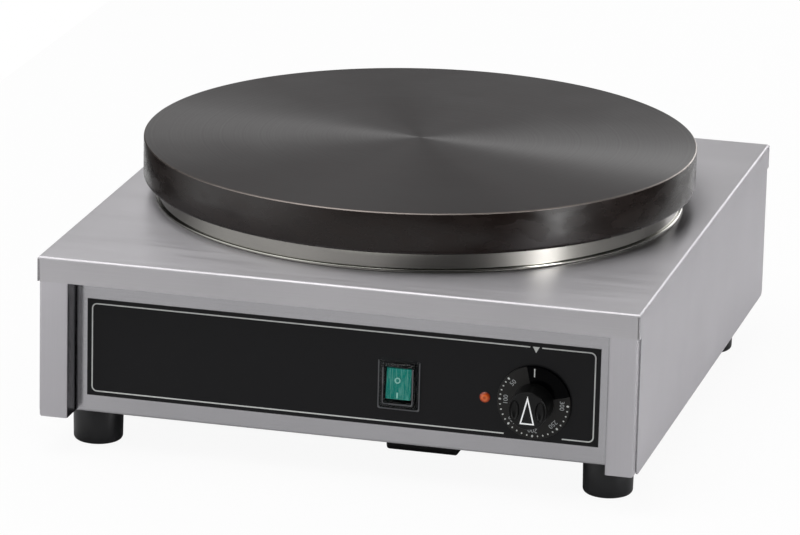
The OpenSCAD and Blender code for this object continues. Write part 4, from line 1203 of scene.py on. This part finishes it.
@dataclass
class Knob:
    """The thermostat's knob: a dial with its scale and a grip with two finger hollows.

    Attributes:
        dial_r: Radius of the dial.
        dial_edge: Rounding of the dial's outer edge.
        hub: Radius of the dial's hole.
        grip_r: Radius of the grip at the dial.
        front_r: Radius of the grip at its front.
        front_edge: Rounding of the grip's front edge.
        ink_room: How much shorter than its node the grip is, which leaves room for the pointer's ink.
        bar: Width of the bar between the hollows.
        hollow: Half the width, half the height, and depth of a finger hollow.
        hollow_edge: Rounding of a hollow's edge.
        steps: Segments of a full turn.
        bare: The glossy sector without a scale, painted near black for the grip's reflection in it, from and
            to, in degrees to the left of the top.
        arrow: The pointer's tip and base above the middle, and half the width of its base.
        arrow_line: Width of the pointer's outline.
        scale_r: Radius on which the scale's dots stand.
        text_r: Radius on which the numbers' middles stand.
        angles: Where the numbered dots stand, in degrees to the left of the top.
        dots: Radius of a numbered dot and of a dot between two of them.
        dot_shape: How much longer than round a dot is outwards, and how much narrower.
        between: How many dots stand between two numbered ones.
        off: Half the width of the off mark, and the radii that it runs from and to.
        step: What the scale counts by.
        figure: Height of the numbers.
        ink: Thickness of the ink.
    """

    dial_r: float = 26.0
    dial_edge: float = 0.4
    hub: float = 5.5
    grip_r: float = 14.0
    front_r: float = 13.4
    front_edge: float = 0.5
    ink_room: float = 0.1
    bar: float = 11.0
    hollow: Point = (3.5, 7.3, 2.9)
    hollow_edge: float = 0.35
    steps: int = 144
    bare: Span = (-75.0, 12.0)
    arrow: Point = (11.0, -9.6, 5.2)
    arrow_line: float = 0.95
    scale_r: float = 24.0
    text_r: float = 19.8
    angles: tuple[float, ...] = (48.9, 88.5, 133.5, 179.0, 224.6, 269.7)
    dots: Span = (0.75, 0.5)
    dot_shape: Span = (1.25, 0.95)
    between: int = 4
    off: Point = (0.4, 18.6, 24.6)
    step: int = 50
    figure: float = 3.3
    ink: float = 0.05

    def build(self) -> None:
        """Builds the dial, the grip and all their marks."""
        low, high = corners("knob_dial")
        centre = (low + high) / 2
        place = on_panel(centre.x, high.y, centre.z)
        thick = high.y - low.y
        form = spun_form([(self.hub, 0.0), (self.dial_r, 0.0), (self.dial_r, thick), (self.hub, thick)],
                         self.steps)
        round_edges(form, circle_edges(form, self.dial_r, thick), self.dial_edge)
        for face in form.faces:
            spot = face.calc_center_median()
            turn = math.degrees(math.atan2(-spot.x, spot.y))
            # The sector without a scale takes the near-black finish, a painted reflection of the grip
            face.material_index = 0 if self.bare[0] < turn < self.bare[1] else 1
        make_piece("scale_dial", form, "knob", [DIAL_PAINTED_REFLECTION, SCALE_FIELD], ("knob_dial",), place)
        self.grip()
        self.scale(place @ Matrix.Translation((0, 0, thick)))

    def grip(self) -> None:
        """Builds the grip: a tapered drum with a finger hollow sunk beside its bar on each side."""
        low, high = corners("knob_grip")
        length = high.y - low.y - self.ink_room
        drum = spun_form([(0.0, 0.0), (self.grip_r, 0.0), (self.front_r, length), (0.0, length)], self.steps,
                         closed=False)
        round_edges(drum, circle_edges(drum, self.front_r, length), self.front_edge, segments=5)
        centre = (low + high) / 2
        place = on_panel(centre.x, high.y, centre.z)
        piece = make_piece("finger_grip", drum, "knob", [KNOB], ("knob_grip",), place)
        for side in (-1, 1):
            carve(piece, self.hollow_form(side, length), place)
        piece.data.shade_smooth()
        piece.data.set_sharp_from_angle(angle=math.radians(30))
        soften(piece, "soft_edges", self.hollow_edge, angle=50.0, segments=4)
        self.pointer(place @ Matrix.Translation((0, 0, length)))

    def hollow_form(self, side: int, length: float) -> Form:
        """The tool that sinks a finger hollow: an oval dish, deepest in its middle.

        Args:
            side: 1 for the right hollow and -1 for the left one.
            length: Where the grip's front is.

        Returns:
            The closed tool.
        """
        form = bmesh.new()
        bmesh.ops.create_uvsphere(form, u_segments=64, v_segments=40, radius=1.0)
        bmesh.ops.scale(form, vec=self.hollow, verts=form.verts)
        bmesh.ops.translate(form, vec=(side * (self.bar / 2 + self.hollow[0]), 0, length), verts=form.verts)
        return form

    def pointer(self, front: Matrix) -> None:
        """Prints the outlined triangle on the grip.

        Args:
            front: Where the middle of the grip's front is.
        """
        tip, base, half = self.arrow
        form = bmesh.new()
        form.faces.new([form.verts.new((x, y, 0)) for x, y in ((-half, base), (half, base), (0, tip))])
        keep_rim(form, self.arrow_line)
        thicken(form, self.ink)
        make_piece("grip_pointer", form, "knob", [POINTER_INK], place=front)

    def scale(self, front: Matrix) -> None:
        """Prints the scale: numbered dots, smaller dots between them, numbers and the off mark.

        Args:
            front: Where the middle of the dial's front is.
        """
        dots = bmesh.new()
        large, small = self.dots
        places = [(angle, large) for angle in self.angles]
        for start, end in zip(self.angles, self.angles[1:]):
            places += [(start + (end - start) * share / (self.between + 1), small)
                       for share in range(1, self.between + 1)]
        for angle, r in places:
            spot = (Matrix.Rotation(math.radians(90 + angle), 4, "Z")
                    @ Matrix.Translation((self.scale_r, 0, 0)) @ Matrix.Diagonal((*self.dot_shape, 1.0, 1.0)))
            bmesh.ops.create_circle(dots, cap_ends=True, segments=16, radius=r, matrix=spot)
        thicken(dots, self.ink)
        make_piece("scale_dots", dots, "knob", [INK], place=front)
        half, inner, outer = self.off
        stroke = flat_form([(-half, inner), (half, inner), (half, outer), (-half, outer)], self.ink)
        make_piece("off_mark", stroke, "knob", [INK], place=front)
        for number, angle in enumerate(self.angles, 1):
            words = str(number * self.step)
            form = text_form(words, self.figure)
            thicken(form, self.ink)
            turn = Matrix.Rotation(math.radians(angle), 4, "Z") @ Matrix.Translation((0, self.text_r, 0))
            make_piece("number_" + words, form, "knob", [SCALE_INK], place=front @ turn)


def text_form(words: str, height: float) -> Form:
    """Makes flat letters.

    Args:
        words: What they say.
        height: Height of a figure in millimetres.

    Returns:
        The letters' faces, centred on the origin.
    """
    curve = bpy.data.curves.new(words, "FONT")
    curve.body = words
    curve.size = height * LETTER
    curve.align_x = "CENTER"
    curve.align_y = "CENTER"
    curve.resolution_u = 3
    holder = add_object(words, curve)
    mesh = settled_mesh(holder)
    bpy.data.objects.remove(holder)
    form = bmesh.new()
    form.from_mesh(mesh)
    bpy.data.meshes.remove(mesh)
    bmesh.ops.remove_doubles(form, verts=form.verts, dist=NEAR / 20)
    return form


@dataclass
class Switch:
    """The rocker under its splash cover.

    Attributes:
        tilt: The rocker's tilt at rest in degrees, its upper end pressed in.
        face: Distance of the rocker's face in front of its pivot.
        size: Width and height of the rocker.
        back: Depth of the rocker behind its pivot.
        dish: How deep the rocker's face is dished.
        cuts: How many lines divide the face, so that it can bend.
        edge: Rounding of the rocker's edges.
        ring: Radius, line width and thickness of the O.
        ring_at: Where the O is: to the right of the pivot, above it, and below the face's ends.
        bar: Half the width, half the height, and thickness of the I.
        bar_at: Where the I is, in the same way.
        pivot_in: Depth of the pivot behind the foil.
        flange: Size of the cover's foot.
        foot: Thickness of the foot.
        shoulder: How much smaller than the foot the cover is, at which height, on its way to the sides.
        window: Size of the cover's window.
        out: How far the cover stands out.
        wall: Thickness of the cover.
        corner: Rounding of the cover's upright corners.
        brow: Rounding of the window's edge.
        haze: How far the pale edge of the window, a painted highlight, reaches down.
        strip: Area of the largest face of that edge.
    """

    tilt: float = 8.0
    face: float = 5.0
    size: Span = (18.0, 22.0)
    back: float = 5.0
    dish: float = 0.7
    cuts: int = 11
    edge: float = 0.5
    ring: Point = (2.1, 0.8, 0.25)
    ring_at: Point = (-0.9, 2.2, 0.62)
    bar: Point = (0.6, 2.0, 0.3)
    bar_at: Point = (-0.5, -8.2, 0.38)
    pivot_in: float = 3.0
    flange: Span = (30.0, 37.0)
    foot: float = 1.0
    shoulder: tuple[Span, ...] = ((1.5, 1.1), (3.0, 1.3))
    window: Span = (21.5, 27.2)
    out: float = 5.0
    wall: float = 0.7
    corner: float = 1.2
    brow: float = 0.5
    haze: float = 0.75
    strip: float = 40.0

    def build(self) -> None:
        """Builds the rocker with its marks, and the cover over it."""
        centre = middle("switch_cover")
        foil_y = corners("control_fascia")[0].y
        pivot = (on_panel(centre.x, foil_y + self.pivot_in, centre.z)
                 @ Matrix.Rotation(math.radians(-self.tilt), 4, "X"))
        self.rocker(pivot)
        self.cover(on_panel(centre.x, foil_y, centre.z))

    def rocker(self, pivot: Matrix) -> None:
        """Builds the rocker, a block whose face is dished, with its O and I.

        Args:
            pivot: Where the rocker's pivot is, turned as the rocker is at rest.
        """
        w, h = self.size
        form = box_form(Vector((-w / 2, -h / 2, -self.back)), Vector((w / 2, h / 2, self.face)))
        bmesh.ops.subdivide_edges(form, edges=[e for e in form.edges
                                               if abs(e.verts[0].co.y - e.verts[1].co.y) > APART],
                                  cuts=self.cuts, use_grid_fill=True)
        for vert in form.verts:
            if vert.co.z > self.face - NEAR:
                vert.co.z -= self.dish * (1 - (2 * vert.co.y / h) ** 2)
        form.normal_update()
        rim = [e for e in form.edges if len(e.link_faces) == 2 and e.calc_face_angle(0) > math.radians(50)]
        round_edges(form, rim, self.edge)
        make_piece("green_rocker", form, "rocker", [GREEN], ("switch_rocker",), pivot)
        r, line, thickness = self.ring
        ring = bmesh.new()
        bmesh.ops.create_circle(ring, cap_ends=True, segments=32, radius=r)
        keep_rim(ring, line)
        thicken(ring, thickness)
        x, y, down = self.ring_at
        make_piece("rocker_off_mark", ring, "rocker", [RIM_INK],
                   place=pivot @ Matrix.Translation((x, y, self.face - down)))
        w, h, thickness = self.bar
        bar = flat_form([(-w, -h), (w, -h), (w, h), (-w, h)], thickness)
        x, y, down = self.bar_at
        make_piece("rocker_on_mark", bar, "rocker", [RIM_INK],
                   place=pivot @ Matrix.Translation((x, y, self.face - down)))

    def cover(self, place: Matrix) -> None:
        """Builds the cover: a flat foot, sloping sides and a flat window, as one thin shell.

        Args:
            place: Where the middle of the cover's foot is.
        """
        form = bmesh.new()
        w, h = self.flange
        levels = ((w, h, 0.0), (w, h, self.foot), *((w - less, h - less, z) for less, z in self.shoulder),
                  (*self.window, self.out))
        loops = []
        for w, h, z in levels:
            verts = [form.verts.new((x * w / 2, y * h / 2, z))
                     for x, y in ((-1, -1), (1, -1), (1, 1), (-1, 1))]
            loops.append([form.edges.new((verts[i], verts[i - 1])) for i in range(4)])
        for lower, upper in zip(loops, loops[1:]):
            bmesh.ops.bridge_loops(form, edges=lower + upper)
        form.faces.new([v for v in form.verts if v.co.z > self.out - NEAR])
        bmesh.ops.recalc_face_normals(form, faces=form.faces)
        upright = [e for e in form.edges if abs(e.verts[0].co.z - e.verts[1].co.z) > NEAR]
        round_edges(form, upright, self.corner, segments=4)
        round_edges(form, [e for e in form.edges if all(v.co.z > self.out - NEAR for v in e.verts)],
                    self.brow)
        # The foot's edge and the window's side and lower edges take the pale grey of painted highlight; the
        # top edge, in shade, stays clear
        for face in form.faces:
            spot = face.calc_center_median()
            at_foot = self.foot < spot.z < self.shoulder[0][1]
            at_window = (spot.z > self.out - self.haze and face.calc_area() < self.strip
                         and abs(face.normal.z) < FLAT)
            below_top = spot.y < self.window[1] / 2 - APART
            face.material_index = 1 if (at_foot or at_window) and below_top else 0
        piece = make_piece("splash_cover", form, "casing", [COVER_CLEAR, COVER_EDGE_HAZE_AND_HIGHLIGHT], ("switch_cover",),
                           place)
        add_wall(piece, self.wall)


@dataclass
class PilotLamp:
    """The lamp's domed lens.

    Attributes:
        stem: Radius of the lens's stem.
        flats: Height of the lens's rim.
        dome_steps: Segments from the dome's top to its rim.
        steps: Segments of a full turn.
    """

    stem: float = 3.2
    flats: float = 0.5
    dome_steps: int = 10
    steps: int = 48

    def build(self) -> None:
        """Spins the dome and its stem."""
        low, high = corners("lamp_lens")
        foil_y = corners("control_fascia")[0].y
        r = (high.x - low.x) / 2
        out = foil_y - low.y
        dome = (r * r + (out - self.flats) ** 2) / (2 * (out - self.flats))
        reach = math.asin(r / dome)
        turns = [reach * i / self.dome_steps for i in range(self.dome_steps + 1)]
        arc = [(dome * math.sin(turn), out - dome + dome * math.cos(turn)) for turn in turns]
        end = foil_y - high.y
        form = spun_form(arc + [(r, 0.0), (self.stem, 0.0), (self.stem, end), (0.0, end)], self.steps,
                         closed=False)
        centre = (low + high) / 2
        make_piece("lamp_dome", form, "casing", [replace(ORANGE, centre=tuple(centre))], ("lamp_lens",),
                   on_panel(centre.x, foil_y, centre.z))


@dataclass
class Studio:
    """The pale floor, the soft lights, and the camera.

    Attributes:
        eye: The camera's place in millimetres.
        heading: Degrees that the camera looks to the left of straight back.
        dip: Degrees that it looks down.
        roll: Degrees that it is rolled.
        focal: Its focal length in pixels of a picture of 800 pixels.
        ambient: Strength of the light from all round.
        room: What shines in the metal: headings in degrees from the front towards the right, with how bright
            the room is there.
        brightest: The brightest of them.
        overhead: How bright the ceiling is.
        ceiling: Between which upward shares of a look the walls turn into the ceiling.
        sheet: Half the width and half the length of the floor's sheet, in metres.
        paper: The sheet's colour.
        whitened: Share of plain white that the camera sees on the sheet.
        boxes: The soft lights: name, place and size in metres, and power in watts.
        aim: What they point at, in metres.
    """

    eye: Point = (910.2, -3631.9, 1212.9)
    heading: float = 14.262
    dip: float = 16.655
    roll: float = 1.369
    focal: float = 5363.2
    ambient: float = 0.55
    room: tuple[Span, ...] = (
        (-180, 0.65), (-153, 0.55), (-140, 0.05), (-116, 0.03), (-106, 0.2), (-85, 1.5), (-45, 2.0),
        (-28, 0.9), (-12, 0.06), (2, 0.02), (58, 0.02), (67, 0.08), (69.5, 9.0), (75.5, 9.0), (78, 0.9),
        (100, 0.12), (138, 0.12), (149, 1.15), (162, 1.15), (180, 0.65))
    brightest: float = 9.0
    overhead: float = 0.5
    ceiling: Span = (0.55, 0.85)
    sheet: Span = (0.57, 15.0)
    paper: str = "#E6E6E6"
    whitened: float = 0.93
    boxes: tuple[tuple[str, Point, Span, float], ...] = (
        ("overhead_box", (-0.6, -0.9, 2.6), (2.2, 2.2), 42.0),
        ("right_box", (2.1, -0.8, 0.75), (0.55, 1.5), 12.0),
        ("back_box", (0.9, 2.4, 0.9), (1.0, 1.2), 14.0))
    aim: Point = (0.0, 0.0, 0.1)

    def build(self) -> None:
        """Sets everything that isn't the object."""
        self.camera()
        self.world()
        self.floor()
        self.lights()
        bpy.context.scene.view_settings.view_transform = "Standard"

    def camera(self) -> None:
        """Places the camera."""
        data = bpy.data.cameras.new("camera")
        data.sensor_fit = "HORIZONTAL"
        data.sensor_width = SENSOR
        data.lens = self.focal * data.sensor_width / CAMERA_PIXELS
        data.clip_start, data.clip_end = 0.1, 100.0
        data.dof.use_dof = False
        camera = add_object("camera", data)
        turn = (Matrix.Rotation(math.radians(self.heading), 4, "Z")
                @ Matrix.Rotation(math.radians(90 - self.dip), 4, "X")
                @ Matrix.Rotation(math.radians(self.roll), 4, "Z"))
        camera.matrix_world = Matrix.Translation(Vector(self.eye) * MM) @ turn
        bpy.context.scene.camera = camera

    def world(self) -> None:
        """White for what the camera sees, also through clear plastic; the room for metal; soft light else."""
        world = bpy.data.worlds.new("studio")
        bpy.context.scene.world = world
        tree = fresh_tree(world)
        ray = add_node(tree, "ShaderNodeLightPath")
        seen = add_node(tree, "ShaderNodeMath", {0: ray.outputs["Is Camera Ray"],
                                                 1: ray.outputs["Is Transmission Ray"]}, operation="MAXIMUM")
        place = add_node(tree, "ShaderNodeTexCoord")
        parts = add_node(tree, "ShaderNodeSeparateXYZ", {0: place.outputs["Generated"]})
        front = add_node(tree, "ShaderNodeMath", {0: parts.outputs["Y"], 1: -1.0}, operation="MULTIPLY")
        turn = add_node(tree, "ShaderNodeMath", {0: parts.outputs["X"], 1: front.outputs[0]},
                        operation="ARCTAN2")
        share = add_node(tree, "ShaderNodeMapRange", {0: turn.outputs[0], 1: -math.pi, 2: math.pi,
                                                      3: 0.0, 4: 1.0})
        room = add_node(tree, "ShaderNodeValToRGB", {0: share.outputs[0]})
        stops = room.color_ramp.elements
        for heading, _ in self.room[1:-1]:
            stops.new(heading / 360 + 0.5)
        for stop, (heading, level) in zip(stops, self.room):
            stop.position = heading / 360 + 0.5
            stop.color = (level / self.brightest,) * 3 + (1.0,)
        walls = add_node(tree, "ShaderNodeMath", {0: room.outputs[0], 1: self.brightest},
                         operation="MULTIPLY")
        high = add_node(tree, "ShaderNodeMapRange", {0: parts.outputs["Z"], 1: self.ceiling[0],
                                                     2: self.ceiling[1], 3: 0.0, 4: 1.0},
                        interpolation_type="SMOOTHSTEP")
        up = add_node(tree, "ShaderNodeMix", {0: high.outputs[0], 2: walls.outputs[0], 3: self.overhead})
        light = add_node(tree, "ShaderNodeBackground", {"Color": linear("#FFFFFF"), "Strength": self.ambient})
        mirror = add_node(tree, "ShaderNodeBackground", {"Color": linear("#FFFFFF"),
                                                         "Strength": up.outputs[0]})
        white = add_node(tree, "ShaderNodeBackground", {"Color": linear("#FFFFFF"), "Strength": 1.0})
        glossy = add_node(tree, "ShaderNodeMixShader", {0: ray.outputs["Is Glossy Ray"], 1: light.outputs[0],
                                                        2: mirror.outputs[0]})
        whole = add_node(tree, "ShaderNodeMixShader", {0: seen.outputs[0], 1: glossy.outputs[0],
                                                       2: white.outputs[0]})
        add_node(tree, "ShaderNodeOutputWorld", {"Surface": whole.outputs[0]})

    def floor(self) -> None:
        """A long pale sheet, whitened for the camera, that keeps the object's shadow."""
        form = bmesh.new()
        bmesh.ops.create_grid(form, x_segments=1, y_segments=1, size=1.0)
        bmesh.ops.scale(form, vec=(*self.sheet, 1.0), verts=form.verts)
        mesh = bpy.data.meshes.new("studio_floor")
        form.to_mesh(mesh)
        form.free()
        floor = add_object("studio_floor", mesh)
        paper = bpy.data.materials.new("white_paper_floor")
        tree = fresh_tree(paper)
        ray = add_node(tree, "ShaderNodeLightPath")
        matt = add_node(tree, "ShaderNodeBsdfDiffuse", {"Color": linear(self.paper)})
        glow = add_node(tree, "ShaderNodeEmission", {"Color": linear("#FFFFFF"), "Strength": 1.0})
        share = add_node(tree, "ShaderNodeMath", {0: ray.outputs["Is Camera Ray"], 1: self.whitened},
                         operation="MULTIPLY")
        both = add_node(tree, "ShaderNodeMixShader", {0: share.outputs[0], 1: matt.outputs[0],
                                                      2: glow.outputs[0]})
        add_node(tree, "ShaderNodeOutputMaterial", {"Surface": both.outputs[0]})
        mesh.materials.append(paper)

    def lights(self) -> None:
        """Hangs the soft boxes: overhead, at the right and behind."""
        for name, place, size, power in self.boxes:
            data = bpy.data.lights.new(name, "AREA")
            data.shape = "RECTANGLE"
            data.size, data.size_y = size
            data.energy = power
            light = add_object(name, data)
            light.location = place
            light.rotation_euler = (Vector(self.aim) - Vector(place)).to_track_quat("-Z", "Y").to_euler()


def dress_kept_nodes() -> None:
    """Gives the nodes that keep their own shape their finishes."""
    for finish, names in KEPT_NODES.items():
        for name in names:
            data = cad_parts[name].data
            data.materials.clear()
            data.materials.append(finish.material())
        LOG.info("%s: %d nodes", finish.name, len(names))


def main() -> None:
    """Builds and dresses the crepe maker, part by part."""
    logging.basicConfig(level=logging.INFO, format="%(message)s")
    parts = [Studio(), Cover(), SideFrame(-1), SideFrame(1), CookingPlate(), Feet(), PanelPrint(), Knob(),
             Switch(), PilotLamp()]
    for part in parts:
        LOG.info("building %s", type(part).__name__)
        part.build()
    dress_kept_nodes()
    bpy.context.view_layer.update()


if __name__ == "__main__":
    main()
